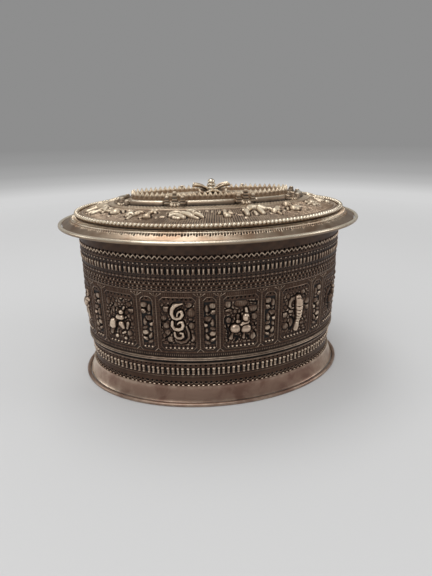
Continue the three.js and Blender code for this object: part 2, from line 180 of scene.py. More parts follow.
# This attribute holds real rubbing and patina, and in some pieces painted shadow and painted reflection as
# well.
def setWearAndPaintedLight(thing, values):
    if "wearAndPaintedLight" not in thing.data.attributes:
        thing.data.attributes.new("wearAndPaintedLight", "FLOAT", "POINT")
    spread = np.broadcast_to(np.asarray(values, np.float32), len(thing.data.vertices))
    thing.data.attributes["wearAndPaintedLight"].data.foreach_set("value", np.ascontiguousarray(spread))


def pointsOf(thing):
    flat = np.empty(3 * len(thing.data.vertices), np.float32)
    thing.data.vertices.foreach_get("co", flat)
    return flat.reshape(-1, 3) / mm


def setPoints(thing, points):
    thing.data.vertices.foreach_set("co", np.ascontiguousarray(points * mm, np.float32).ravel())
    thing.data.update()


def clean(thing, angle=75, holes=False, outwards=False):  # merges seams, closes holes and shades
    pick(thing)
    bpy.ops.object.mode_set(mode="EDIT")
    bpy.ops.mesh.select_all(action="SELECT")
    bpy.ops.mesh.remove_doubles(threshold=0.003 * mm)
    if holes:
        bpy.ops.mesh.select_all(action="DESELECT")
        bpy.ops.mesh.select_non_manifold()
        bpy.ops.mesh.fill_holes(sides=0)
    if outwards:
        bpy.ops.mesh.select_all(action="SELECT")
        bpy.ops.mesh.normals_make_consistent(inside=False)
    bpy.ops.object.mode_set(mode="OBJECT")
    bpy.ops.object.shade_smooth_by_angle(angle=math.radians(angle))
    return thing


def gridPiece(name, points):  # a sheet through rows and columns of points
    rows, columns = points.shape[:2]
    deselectAll()
    bpy.ops.mesh.primitive_grid_add(x_subdivisions=columns - 1, y_subdivisions=rows - 1, size=2)
    made = active(name)
    setPoints(made, points.reshape(-1, 3))
    return made


def blurred(field, radius, wraps):
    for axis, mode in ((0, "edge"), (1, "wrap" if wraps else "edge")):
        pad = [(0, 0), (0, 0)]
        pad[axis] = (radius + 1, radius)
        total = np.cumsum(np.pad(field, pad, mode=mode), axis=axis)
        size, window = field.shape[axis], 2 * radius + 1
        upper = np.take(total, np.arange(window, window + size), axis)
        lower = np.take(total, np.arange(size), axis)
        field = (upper - lower) / window
    return field


rubbing = {  # how wear follows the relief: raised against its near and wide surroundings, and in itself
    "rest": 0.4, "near": 0.9, "nearRadius": 0.75, "wide": 0.26, "wideRadius": 2.2, "proud": 0.16,
}


# A chased sheet round the oval: the face carries the relief and the back closes its section
def ovalSheet(name, face, back, angles, relief=None, wraps=True, gain=1.0, step=0.25, tone=0.0):
    profile = np.array(list(map(tuple, face)) + [tuple(p) for p in back], float)
    rows, faceRows = len(profile), len(face)
    reach, height = profile[:, :1], profile[:, 1:]
    half = halfWidthAt(reach)
    cosine, sine = np.cos(angles)[None], np.sin(angles)[None]
    level = np.broadcast_to(height, (rows, len(angles)))
    points = np.stack([reach * cosine, half * sine, level], -1)
    if relief is None:
        relief = np.zeros((faceRows, len(angles)))
    tangent = np.stack([-reach * sine, half * cosine, np.zeros_like(level)], -1)
    rise = np.gradient(profile[:faceRows], axis=0)
    halfRise = np.gradient(half[:faceRows, 0])[:, None]
    lift = np.broadcast_to(rise[:, 1:], relief.shape)
    upward = np.stack([rise[:, :1] * cosine, halfRise * sine, lift], -1)
    normal = np.cross(tangent[:faceRows], upward)
    normal /= np.linalg.norm(normal, axis=-1, keepdims=True)
    points[:faceRows] += normal * relief[..., None]
    points = np.concatenate([points, points[:1]])
    near = relief - blurred(relief, max(1, round(rubbing["nearRadius"] / step)), wraps)
    wide = relief - blurred(relief, max(1, round(rubbing["wideRadius"] / step)), wraps)
    rubbed = rubbing["near"] * near + rubbing["wide"] * wide + rubbing["proud"] * relief
    wearAndPaintedLight = np.full(points.shape[:2], rubbing["rest"])
    wearAndPaintedLight[:faceRows] = np.clip(rubbing["rest"] + gain * rubbed + tone, 0, 1)
    wearAndPaintedLight[-1] = wearAndPaintedLight[0]
    made = gridPiece(name, points)
    setWearAndPaintedLight(made, wearAndPaintedLight.ravel())
    return clean(made, holes=not wraps)


def spinLine(name, section, steps, closed):  # a section of (reach, height) turned round the upright axis
    deselectAll()
    data = bpy.data.meshes.new(name)
    edges = [(i, i + 1) for i in range(len(section) - 1)]
    if closed:
        edges.append((len(section) - 1, 0))
    data.from_pydata([(reach * mm, 0, height * mm) for reach, height in section], edges, [])
    made = bpy.data.objects.new(name, data)
    bpy.context.collection.objects.link(made)
    pick(made)
    bpy.ops.object.mode_set(mode="EDIT")
    bpy.ops.mesh.select_all(action="SELECT")
    bpy.ops.mesh.spin(steps=steps, angle=2 * math.pi, center=(0, 0, 0), axis=(0, 0, 1))
    return clean(made, outwards=True)


def spunRing(name, section, steps=360, angle=40, wearAndPaintedLight=0.5, closed=True):  # a section turned round the oval
    made = spinLine(name, section, steps, closed)
    points = pointsOf(made)
    reach = np.hypot(points[:, 0], points[:, 1])
    points[:, 1] *= halfWidthAt(reach) / np.maximum(reach, 1e-6)
    setPoints(made, points)
    bpy.ops.object.shade_smooth_by_angle(angle=math.radians(angle))
    setWearAndPaintedLight(made, wearAndPaintedLight)
    return made


def seat(made, body, slot, material, *nodes):
    made.data.materials.clear()
    made.data.materials.append(material)
    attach(made, body)
    if nodes:
        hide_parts(*nodes)
    return made


def copyOf(template, name):
    made = template.copy()
    made.data = template.data.copy()
    made.name = made.data.name = name
    bpy.context.collection.objects.link(made)
    return made


def joinAll(parts, name):
    deselectAll()
    for part in parts:
        part.select_set(True)
    bpy.context.view_layer.objects.active = parts[0]
    bpy.ops.object.join()
    return active(name)


# Relief shapes: heights in millimetres over x and y in millimetres

def ridge(distance, halfWidth, rise):
    return rise * np.clip(1 - (distance / halfWidth) ** 2, 0, 1) ** 0.7


def over(made, extra):  # lays a raised shape over the relief and leaves the pits beside it
    return np.where(extra > 0, np.maximum(made, extra), made)


def fade(values, low, high):
    t = np.clip((values - low) / (high - low), 0, 1)
    return t * t * (3 - 2 * t)


def band(values, low, high, soft=0.2):
    return fade(values, low, low + soft) * fade(values, high, high - soft)


def lobe(x, y, spot, size, rise=1.0):  # a rounded lump or, below nought, a pit
    u, v = (x - spot[0]) / size[0], (y - spot[1]) / size[1]
    return rise * np.clip(1 - u * u - v * v, 0, 1) ** 0.65


def repeatOffsets(s, pitch):  # distance to the nearest repeat and to the nearest gap between repeats
    on = (s / pitch + 0.5) % 1 * pitch - pitch / 2
    off = (s / pitch) % 1 * pitch - pitch / 2
    return on, off


def stroke(x, y, path):  # (distance outside a tapered stroke, its rounded height as a share)
    away = np.full(np.broadcast(x, y).shape, 1e3)
    crown = np.zeros_like(away)
    for (ax, ay, ar), (bx, by, br) in zip(path, path[1:]):
        dx, dy = bx - ax, by - ay
        t = np.clip(((x - ax) * dx + (y - ay) * dy) / max(dx * dx + dy * dy, 1e-6), 0, 1)
        radius = ar + (br - ar) * t
        off = np.hypot(x - ax - dx * t, y - ay - dy * t)
        away = np.minimum(away, off - radius)
        swell = np.clip(radius / 1.3, 0.5, 1.15)  # thin limbs stand less proud
        crown = np.maximum(crown, swell * np.clip(1 - (off / radius) ** 2, 0, 1) ** 0.55)
    return away, crown


def ball(x, y, wide, high=None):  # a round stroke for a haunch, a paw or a head
    high = high or wide
    radius, spread = min(wide, high), abs(wide - high)
    dx, dy = (spread, 0) if wide > high else (0, spread)
    return [(x - dx, y - dy, radius), (x + dx + 0.01, y + dy, radius)]


def arc(centre, size, first, last, thick, thin, count=10):  # a curled stroke, angles in degrees
    path = []
    for i in range(count + 1):
        turn = math.radians(first + (last - first) * i / count)
        x, y = centre[0] + size[0] * math.cos(turn), centre[1] + size[1] * math.sin(turn)
        path.append((x, y, thick + (thin - thick) * i / count))
    return path


def figureRelief(x, y, limbs, slots=()):  # later limbs lie in front and cut a dark line into those behind
    figure = np.zeros(np.broadcast(x, y).shape)
    away = np.full(figure.shape, 1e3)
    for rise, path in limbs:
        outside, crown = stroke(x, y, path)
        behind = figure * (0.3 + 0.7 * fade(outside, 0, 0.34))
        figure = np.where(outside < 0, rise * (0.22 + 0.78 * crown), behind)
        away = np.minimum(away, outside)
    for halfWidth, line in slots:
        outside, _ = stroke(x, y, [(px, py, halfWidth) for px, py in line])
        figure -= np.where(figure > 0, 0.7 * (1 - fade(outside, -halfWidth, 0.1)), 0)
    return figure, away


def leafRelief(x, y, leaves, rise=0.55):  # leaves overlap like scales, each with a dark crease round it
    ground = np.full(np.broadcast(x, y).shape, -0.2)
    for lx, ly, halfLong, halfWide, turn in leaves:
        turn = math.radians(turn)
        dx, dy = x - lx, y - ly
        u = (dx * math.cos(turn) + dy * math.sin(turn)) / halfLong
        v = (dy * math.cos(turn) - dx * math.sin(turn)) / halfWide
        spread = np.sqrt(u * u + v * v)
        edge = (spread - 1) * min(halfLong, halfWide)
        dome = min(rise * min(halfLong, halfWide), 0.9) * np.clip(1 - spread * spread, 0, 1) ** 0.5
        veins = 0.07 * np.cos(2 * math.pi * u * halfLong / 0.8) * np.clip(1.1 - spread, 0, 1)
        ground = np.where(spread < 1, dome + veins, np.minimum(ground, 3.2 * edge - 0.3))
    return ground


def grooveCut(x, y, grooves):  # how deep the grooves cut, from 0 to 1
    cut = np.zeros(np.broadcast(x, y).shape)
    for halfWidth, line in grooves:
        outside, _ = stroke(x, y, [(px, py, halfWidth) for px, py in line])
        cut = np.maximum(cut, 1 - fade(outside, -halfWidth * 0.6, 0.16))
    return cut


# Animals of the wide panels, facing as seen from outside, places from the panel's middle

def quadruped(
    length=6.6, depth=2.3, leg=5.4, neck=2.6, head=1.35, muzzle=1.7, ear=0.9, horn=0.0, tail=4.0, curl=60,
):
    hip, chest = -length / 2, length / 2
    nape = (chest + neck * 0.5, 1.6 + neck * 0.8)
    crown = (nape[0] - 0.5, nape[1] + head * 0.7)
    limbs = [
        (1.1, [(hip + 1.3, -1.4, depth * 0.5), (hip + 1.6, -leg * 0.7, 0.7),
               (hip + 2.1, -leg - 1.4, 0.65)]),
        (1.1, [(chest - 1.3, -1.2, depth * 0.45), (chest - 1.7, -leg * 0.7, 0.7),
               (chest - 1.3, -leg - 1.4, 0.65)]),
        (1.2, arc((hip - 1, 1.4), (1.6, tail), 200, 200 - curl * 2, 0.6, 0.4)),
        (1.6, [(hip, 0.2, depth), (0, -0.2, depth * 0.85), (chest, 0.5, depth * 0.95)]),
        (1.7, [(chest, 1, depth * 0.7), (*nape, head)]),
        (1.5, [(hip - 0.5, -1, depth * 0.6), (hip - 1.2, -leg * 0.6, 0.8), (hip - 0.6, -leg - 1.6, 0.7)]),
        (1.5, [(chest, -1, depth * 0.5), (chest + 0.8, -leg * 0.6, 0.75), (chest + 1, -leg - 1.6, 0.7)]),
        (1.9, [(*nape, head), (nape[0] + muzzle, nape[1] - 0.6, head * 0.6)]),
        (1.4, [(*crown, 0.55), (crown[0] - 0.5, crown[1] + ear, 0.4)]),
    ]
    if horn:
        limbs.append((1.5, arc((crown[0] - 0.3, crown[1] + horn), (horn, horn), -80, 80, 0.45, 0.3)))
    return {"limbs": limbs}


panelDesigns = {
    "snake": {
        "limbs": [
            (0.9, [(3.6, -1, 0.5), (4.5, -4, 0.65), (4.6, -6.5, 0.65), (3, -8.5, 0.7), (1, -9.1, 0.7),
                   (-1, -8.3, 0.6), (-1.6, -7.2, 0.4)]),
            (1.5, [(-1.7, -4, 0.6), (-1.5, -5.6, 0.7), (-0.6, -6.6, 0.7), (0.7, -6.8, 0.7), (2, -5.9, 0.7),
                   (1.9, -4.4, 0.6), (0.8, -4.1, 0.45)]),
            (1.8, [(-0.2, 0.4, 0.4), (0.7, 1.3, 0.5), (1.8, 1.2, 0.75), (2.2, -0.3, 0.8),
                   (1.6, -1.8, 0.85), (0, -2.4, 0.9), (-1.6, -2, 0.85), (-2.6, -0.5, 0.8),
                   (-2.5, 1.4, 0.7)]),
            (2.0, [(-0.3, 4.2, 0.45), (-0.2, 5.2, 0.45), (0.4, 6.3, 0.55), (1.6, 6.5, 0.7),
                   (2.1, 4.9, 0.8), (1.2, 3.5, 0.8), (-0.5, 2.9, 0.8), (-2, 3.6, 0.85), (-2.7, 5.4, 0.9),
                   (-2.4, 7.4, 1.0), (-1.2, 9.2, 1.05), (0.5, 10, 0.9), (2.3, 10.3, 0.45)]),
        ],
        "leaves": [
            (6, 5.5, 2.1, 2.1, 0), (5.9, -0.7, 1.6, 1.7, 0), (6.1, -6.5, 1.7, 2.2, 0),
            (5, 9.3, 1.8, 1.2, 20), (-5, 7.5, 1.8, 2, 0), (-6.4, 3, 1.5, 1.2, 0),
            (-5.3, -0.7, 1.6, 1.6, 0), (-4.8, -4, 1.6, 1.4, 0), (-3.5, -7.4, 1.8, 1.6, 20),
            (-6.5, -5.8, 1, 1.3, 0), (-6, -9.5, 1.6, 1.1, 0),
        ],
        "grooves": [
            (0.25, [(3.7, 6.8), (4.7, 7.8), (6.2, 8.3), (6.6, 9.2)]), (0.25, [(-6, 8.8), (-3.3, 8.8)]),
            (0.3, [(-7.9, 1.5), (-6.5, 0.9), (-5, 2), (-4, 1.9)]),
            (0.25, [(-7.5, 0.5), (-8, -1.5), (-7, -2.4)]),
            (0.3, [(-6, -6.9), (-4.5, -5.8), (-3.3, -4.2), (-2.3, -4.3)]),
            (0.25, [(4.5, 2.2), (6, 1.6), (7.3, 1)]),
            (0.25, [(5, -7.7), (5.5, -8.7), (7.5, -9), (7.9, -9.8)]),
            (0.25, [(-4.5, -9.2), (-3.5, -9.8), (-1.5, -9.7)]),
        ],
    },
    "roundBeast": {
        "limbs": [
            (0.6, ball(-5.7, 1.2, 1.2, 1.3)), (0.8, ball(-1.4, 2.5, 0.8, 1.5)),
            (1.5, [(-0.6, -1.2, 1.6), (2.6, 0.1, 1.4)]), (1.2, ball(0.9, 4, 0.9, 0.7)),
            (1.5, [(2.5, 4.4, 0.9), (2.2, 6.4, 0.7)]), (1.3, [(0.5, 1, 0.6), (0.6, 4, 0.5)]),
            (1.9, ball(2.1, 2.3, 1.7, 2.1)), (1.4, ball(-1.3, 0.4, 1.2, 1.0)),
            (2.0, ball(-2.7, -2.8, 2.5, 2.3)), (2.0, ball(2.1, -3.3, 2.5, 2.2)),
            (0.9, [(-3.8, -5, 0.5), (-4.7, -7.5, 0.95), (-4.6, -7.6, 0.95)]),
            (0.9, [(1.6, -5.4, 0.5), (1.2, -7.8, 0.8), (1.3, -7.9, 0.8)]),
        ],
        "slots": [(0.22, [(2.9, 1.2), (2.9, 2.7)])],
        "leaves": [
            (5.8, -7.8, 1.7, 2, 0), (5.5, -1.8, 0.8, 0.8, 0), (6.2, 1.9, 1.5, 1.7, 0),
            (5.4, 6, 2.4, 1.6, 0), (-0.1, 9, 3.2, 1.8, 0), (-5.9, 9, 1.8, 1.7, 0), (-5.7, 6, 1.9, 0.9, 0),
        ],
        "grooves": [
            (0.42, [(-3.95, 1.5), (-5.4, 3.2), (-7, 2.9), (-7.4, 1.1), (-6.45, -1.8), (-5.9, -5),
                    (-6.3, -6.8), (-5.7, -8.7)]),
            (0.45, [(3.9, 9.6), (8, 8.7)]), (0.3, [(-7.8, 6.4), (-5.7, 7.1), (-4.6, 7.6), (-4.6, 9.7)]),
            (0.25, [(-4.6, 7.3), (-3.6, 6.3)]), (0.3, [(4.1, 3.5), (5.4, 3.7), (7, 4.6), (7.6, 6)]),
            (0.25, [(6.3, -1.3), (6.7, -2.9)]), (0.3, [(6.5, -5.5), (7.3, -8), (6, -9.5)]),
            (0.8, [(-2.6, -7), (-1, -7.4), (-2.4, -9)]), (0.5, [(3.2, -7), (3.6, -9.2)]),
        ],
    },
    "ringedCreature": {
        "limbs": [
            (0.9, [(-0.8, -8, 0.7), (-1.8, -9.6, 0.6)]), (0.9, [(0.6, -8, 0.7), (1.2, -9.8, 0.6)]),
            (1.1, [(-0.6, 7.3, 1), (-2.4, 7, 0.9), (-3.5, 5.6, 0.8), (-3.7, 3.9, 0.8), (-3, 2.9, 0.6)]),
            (1.0, ball(-1.9, 2.4, 1, 0.5)), (0.9, ball(-2.9, 0.8, 1.3, 0.8)),
            (2.0, [(-0.1, -8.5, 1.3), (0.6, -6.4, 1.1), (1.1, -4.4, 1), (1.5, -2.2, 1.4), (1.7, 0, 1.9),
                   (1.7, 2.5, 2.15), (1.6, 4.9, 2.2), (0.7, 7.2, 1.7)]),
        ],
        "slots": [
            (0.16, [(-0.3, 3.2), (1.6, 2.9), (3.7, 3.3)]), (0.16, [(-0.3, 1.2), (1.6, 0.9), (3.6, 1.3)]),
            (0.15, [(-0.1, -0.5), (1.6, -0.8), (3.3, -0.4)]),
            (0.15, [(0.2, -2), (1.5, -2.2), (2.8, -1.8)]), (0.14, [(0.2, -3.5), (2.2, -3.4)]),
            (0.14, [(-0.1, -5), (1.9, -4.9)]), (0.2, [(2.4, 4.8), (2.8, 5)]),
            (0.16, [(-0.3, 7.4), (1.3, 7.2), (2.6, 6.2)]),
        ],
        "leaves": [
            (-6.3, -0.3, 1.6, 1.6, 0), (-2.7, -5, 1.3, 2.2, 0), (-5.8, -6, 1.8, 1.8, 0),
            (7.1, 4.2, 2, 1.6, 0), (3.9, 9.5, 1.6, 1.4, 0), (6.3, -4, 1.2, 1, 0), (7.6, 0.8, 2, 1.5, 0),
            (4.4, -6.6, 1.2, 1, 0),
        ],
        "grooves": [
            (0.3, [(-0.8, 6.3), (-2.1, 6), (-2.9, 5.2)]), (0.4, [(-3.4, -0.1), (-2.2, 0)]),
            (0.3, [(-7.9, -1), (-7.5, 1), (-5, 1.4), (-3.4, 2.2)]),
            (0.45, [(-3.7, -1.6), (-1.6, -2.4), (-0.6, -4.2), (-1.3, -6.6), (-2.9, -8.4)]),
            (0.3, [(-4.8, -4.2), (-3.7, -6), (-3.4, -8.7)]),
            (0.3, [(5, 10.3), (5.5, 9), (5, 8.2), (6.3, 6.6)]), (0.3, [(5.2, 3.4), (6, 2.2), (9.2, 2.4)]),
            (0.3, [(3.1, -2.9), (4.7, -3.3), (5.5, -5), (6.6, -5.8)]),
            (0.3, [(2.9, -4.5), (2.9, -7.1), (3.9, -10)]),
        ],
    },
    "rearingBeast": {
        "limbs": [
            (0.9, [(-4.6, -5, 0.9), (-5.4, -7.9, 1.0)]), (1.1, [(2.9, 6.1, 0.6), (1.7, 4, 0.6)]),
            (1.1, [(0.4, 3.2, 0.5), (0.1, 2.4, 0.5)]), (1.7, ball(1.3, 3.6, 1.2)),
            (1.2, [(3.5, 1.3, 0.5), (2.4, 0.6, 0.6)]), (2.0, ball(0.6, 1.1, 2.2, 1.3)),
            (1.1, ball(-2.3, -1.3, 0.8)), (1.8, [(-3.6, -1.6, 1.5), (-4.1, -3.7, 1.9)]),
            (1.5, [(0.9, -2.4, 1.5), (1.7, -4, 0.9)]), (1.2, [(4.4, -1.6, 0.9), (3.8, -4.2, 0.6)]),
            (1.3, ball(-2.3, -9.1, 1)), (1.2, [(1.2, -7.1, 0.6), (2.5, -6.4, 0.6)]),
            (1.1, ball(2.5, -9.5, 0.9)),
        ],
        "leaves": [
            (-4.9, 2.1, 0.8, 1.8, 0), (-3.3, 4.2, 0.9, 1.8, 0), (-1.5, 6.8, 1.3, 1.3, 0),
            (-6, 7.9, 1.4, 2, 0), (6.7, 5.3, 1.9, 1.5, 0), (5.4, 7.9, 1.5, 1.2, 0),
            (7.2, 1.8, 1.2, 1.5, 0), (4.8, -6.6, 1.5, 1.5, 0),
        ],
        "grooves": [
            (0.3, [(-4.4, 5.3), (-2.5, 7.1)]), (0.3, [(-0.4, 5.3), (1.4, 5.8)]),
            (0.3, [(0.1, 10.5), (1.4, 9), (2.7, 10.3)]), (0.3, [(5.1, 6.1), (8.3, 6.4)]),
            (0.45, [(-2, 4.8), (-2.5, 1.8)]), (0.3, [(-5.4, 4), (-5.4, 2)]),
            (0.6, [(-2.8, -5.9), (-2.8, -6.7)]), (0.5, [(3.3, -5.4), (3.3, -6)]),
        ],
    },
    "rooster": {
        # Painted shade: this panel lies where the wall turns away towards the box's end, and is painted
        # darker there.
        "dull": 0.3,
        "limbs": [
            (1.1, arc((-3.2, -0.4), (2.6, 3.2), 90, 220, 0.7, 0.5)),
            (1.4, arc((-2.6, 0.4), (2.6, 4.6), 80, 200, 0.9, 0.6)),
            (1.2, [(-0.4, -3, 0.7), (-0.6, -6.8, 0.5), (0.8, -7.4, 0.4)]),
            (1.2, [(1, -2.8, 0.7), (1.4, -6.8, 0.5), (2.8, -7.4, 0.4)]),
            (1.9, [(-0.6, -0.8, 2.5), (1, 0.6, 2)]), (1.8, [(1.4, 1.4, 1.6), (2.4, 4.6, 1.1)]),
            (1.8, [(2.4, 4.8, 1.15), (4.2, 4.6, 0.45)]),
            (1.4, arc((2.2, 6.6), (1.2, 0.9), 200, 10, 0.5, 0.4)),
        ],
    },
    "horse": quadruped(
        length=6, depth=1.9, neck=2.8, muzzle=2.0, ear=1.0, tail=3.4, curl=70,
    ),
    "rat": quadruped(
        length=5, depth=2.3, leg=3.4, neck=0.9, head=1.3, muzzle=1.9, ear=0.5, tail=5.2, curl=50,
    ),
    "ox": quadruped(
        length=7, depth=2.7, leg=5.0, neck=2.0, head=1.6, muzzle=1.7, horn=1.5, tail=4.4, curl=40,
    ),
    "tiger": quadruped(
        length=7.2, depth=2.2, leg=4.6, neck=1.4, head=1.7, muzzle=1.2, ear=0.5, tail=5.0, curl=80,
    ),
    "hare": quadruped(
        length=4.4, depth=2.3, leg=3.6, neck=1.4, head=1.3, muzzle=1.0, ear=2.6, tail=1.6, curl=40,
    ),
    "deer": quadruped(
        length=6.4, depth=2.2, leg=5.8, neck=4.2, head=1.2, muzzle=2.3, ear=0.8, tail=4.8, curl=45,
    ),
    "goat": quadruped(
        length=6, depth=2.1, leg=5.0, neck=3.2, head=1.2, muzzle=1.6, horn=1.8, tail=2.2, curl=50,
    ),
}
panelOrder = [  # round the box from the panel nearest the front's middle, towards +X
    "roundBeast", "ringedCreature", "rooster", "horse", "rat", "ox", "tiger", "hare", "deer", "goat",
    "rearingBeast", "snake",
]

narrowDesign = {
    "lobes": [
        (-1.3, 8.8, 1.9, 1.4, 0), (1.3, 7.4, 1, 1.9, 0), (-1.5, 5.8, 1.6, 1.4, -40), (0.8, 2.6, 2, 1.3, 0),
        (-1.1, 0.5, 1, 2, 0), (1.9, -0.3, 1, 1.2, 0), (-1.2, -2.3, 1.5, 0.9, 20),
        (-1.3, -4.7, 1.7, 1.3, 0), (1.3, -6.3, 1, 1.8, -20), (-1.3, -7.8, 1.7, 0.9, -35),
        (1.2, -9.2, 1.6, 0.9, 20), (0.9, 5.0, 1, 0.8, 0), (1.5, -3, 0.9, 1.2, 10),
    ],
    "grooves": [
        (0.38, [(-3.5, 7.2), (-0.6, 7)]), (0.35, [(-0.6, 6.8), (0.7, 5.2)]),
        (0.38, [(-0.3, 1.5), (0.8, 0.4), (2.4, 0.9)]), (0.38, [(-3.5, -6), (-0.9, -6.9), (0.7, -5.2)]),
    ],
    "bright": [(1.9, -0.3, 1.2, 1.4, 0.2), (-1.3, -4.7, 1.8, 1.4, 0.2), (-1.3, 8.8, 2, 1.4, 0.12)],
    "rise": 0.9,
    "dull": 0.13,  # how much darker than the animals its lobes are
    "grooveDepth": 0.9,
}

panelForm = {
    "count": 12,
    "shift": 5.6,  # middle of the front to the middle of the nearest wide panel
    "crowding": 2.15,  # how far the panels are drawn towards the front
    "narrow": 9.25,  # width from pillar to pillar
    "middle": 41.0,  # height of the figures' middles
    "pillar": 0.32, "pillarRise": 0.5,  # half width of the ridges between panels
    "ladderReach": 1.35, "ladderPitch": 0.85, "rung": (0.3, 0.32),  # half width and rise
    "inset": 1.6,  # from a pillar to the thin frame line inside it
    "frameTop": 53.8, "frameFoot": 28.2, "chamfer": 1.5,
    "holes": 52.75, "holePitch": 1.95, "holeSize": (0.5, 0.5), "holeDepth": 0.9,
    "dots": 29.15, "dotSize": (0.6, 0.52), "dotRise": 0.8,
    "dotPits": 29.85, "dotPitSize": (0.4, 0.42), "dotPitDepth": 0.6,
    "narrowDots": 0.9,  # share of the pitch between the dots of a narrow panel
    "field": (30.6, 51.7),
    "apex": 28.7, "root": 26.9, "footSlant": 0.95,  # of the inverted V at each pillar's foot
    "forkTop": 55.9, "forkSlants": (1.35, 0.45),  # of the leaves that crown each pillar
    "band": (26.3, 27.4), "bandRise": 0.34, "bandPitch": 2.4, "bandUneven": 0.15,
    "animalDull": 0.04, "leafDull": 0.05, "grooveDull": 0.3,  # how much darker than the wall's own wear
    "leafSeed": 40, "leafSpread": 8.0, "leafSize": 1.35,
    "grooveDepth": 0.75,
    "moat": (-0.5, 1.2, 1.2),  # height of the ground beside an animal, then its slope and reach from there
}


def chamferedBox(x, y, halfWidth, halfHeight, chamfer):  # distance outside it
    slant = (np.abs(x) + np.abs(y) - halfWidth - halfHeight + chamfer) / math.sqrt(2)
    return np.maximum(np.maximum(np.abs(x) - halfWidth, np.abs(y) - halfHeight), slant)


def scatteredLeaves(seed, halfWidth, low, high, size):
    draw = random.Random(seed)
    leaves = []
    rows = round((high - low) / (size * 1.3))
    columns = round(2 * halfWidth / (size * 1.5))
    for i in range(rows + 1):
        for j in range(columns + 1):
            lx = -halfWidth + 2 * halfWidth * (j + 0.5 * (i % 2)) / columns + draw.uniform(-0.4, 0.4)
            ly = low + (high - low) * i / rows + draw.uniform(-0.35, 0.35)
            turn = math.degrees(math.atan2(ly, lx)) + draw.uniform(-40, 40)
            leaves.append((lx, ly, size * draw.uniform(0.85, 1.15), size * draw.uniform(0.6, 0.85), turn))
    draw.shuffle(leaves)
    return leaves


def narrowFill(x, y, index):  # lobes and grooves, mirrored from one narrow panel to the next
    form = narrowDesign
    side = -1 if index % 2 else 1
    lobes = [(side * lx, ly, *size, side * turn) for lx, ly, *size, turn in form["lobes"]]
    grooves = [(halfWide, [(side * px, py) for px, py in line]) for halfWide, line in form["grooves"]]
    cut = grooveCut(x, y, grooves)
    shade = -form["dull"] - panelForm["grooveDull"] * cut
    for lx, ly, halfWide, halfHigh, more in form["bright"]:
        shade += lobe(x, y, (side * lx, ly), (halfWide, halfHigh), more)
    return leafRelief(x, y, lobes, form["rise"]) - form["grooveDepth"] * cut, shade


def wideFill(x, y, index):  # an animal, with leaves and grooves round it
    form = panelForm
    design = panelDesigns[panelOrder[index]]
    low, high = (level - form["middle"] for level in form["field"])
    leaves = scatteredLeaves(form["leafSeed"] + index, form["leafSpread"], low, high, form["leafSize"])
    cut = grooveCut(x, y, design.get("grooves", []))
    figure, away = figureRelief(x, y, design["limbs"], design.get("slots", ()))
    depth, slope, moatReach = form["moat"]
    ground = leafRelief(x, y, leaves + design.get("leaves", [])) - form["grooveDepth"] * cut
    ground = np.minimum(ground, depth + slope * np.clip(away, 0, moatReach))
    dull = form["animalDull"] + design.get("dull", 0)
    shade = np.where(away < 0, -dull, -form["leafDull"] - form["grooveDull"] * cut)
    return np.where(away < 0, np.maximum(figure, 0.1), ground), shade


def punchedFrame(fill, x, z, wide):  # the rows of holes and dots inside a panel's frame
    form = panelForm
    each = 3 if wide else 1
    pitch = form["holePitch"]
    dotPitch = pitch * (1 if wide else form["narrowDots"])
    for k in range(-each, each + 1):
        fill -= lobe(x, z, (k * pitch, form["holes"]), form["holeSize"], form["holeDepth"])
        fill = over(fill, lobe(x, z, (k * dotPitch, form["dots"]), form["dotSize"], form["dotRise"]))
        pit = ((k + 0.5) * dotPitch, form["dotPits"])
        fill -= lobe(x, z, pit, form["dotPitSize"], form["dotPitDepth"])
    return fill


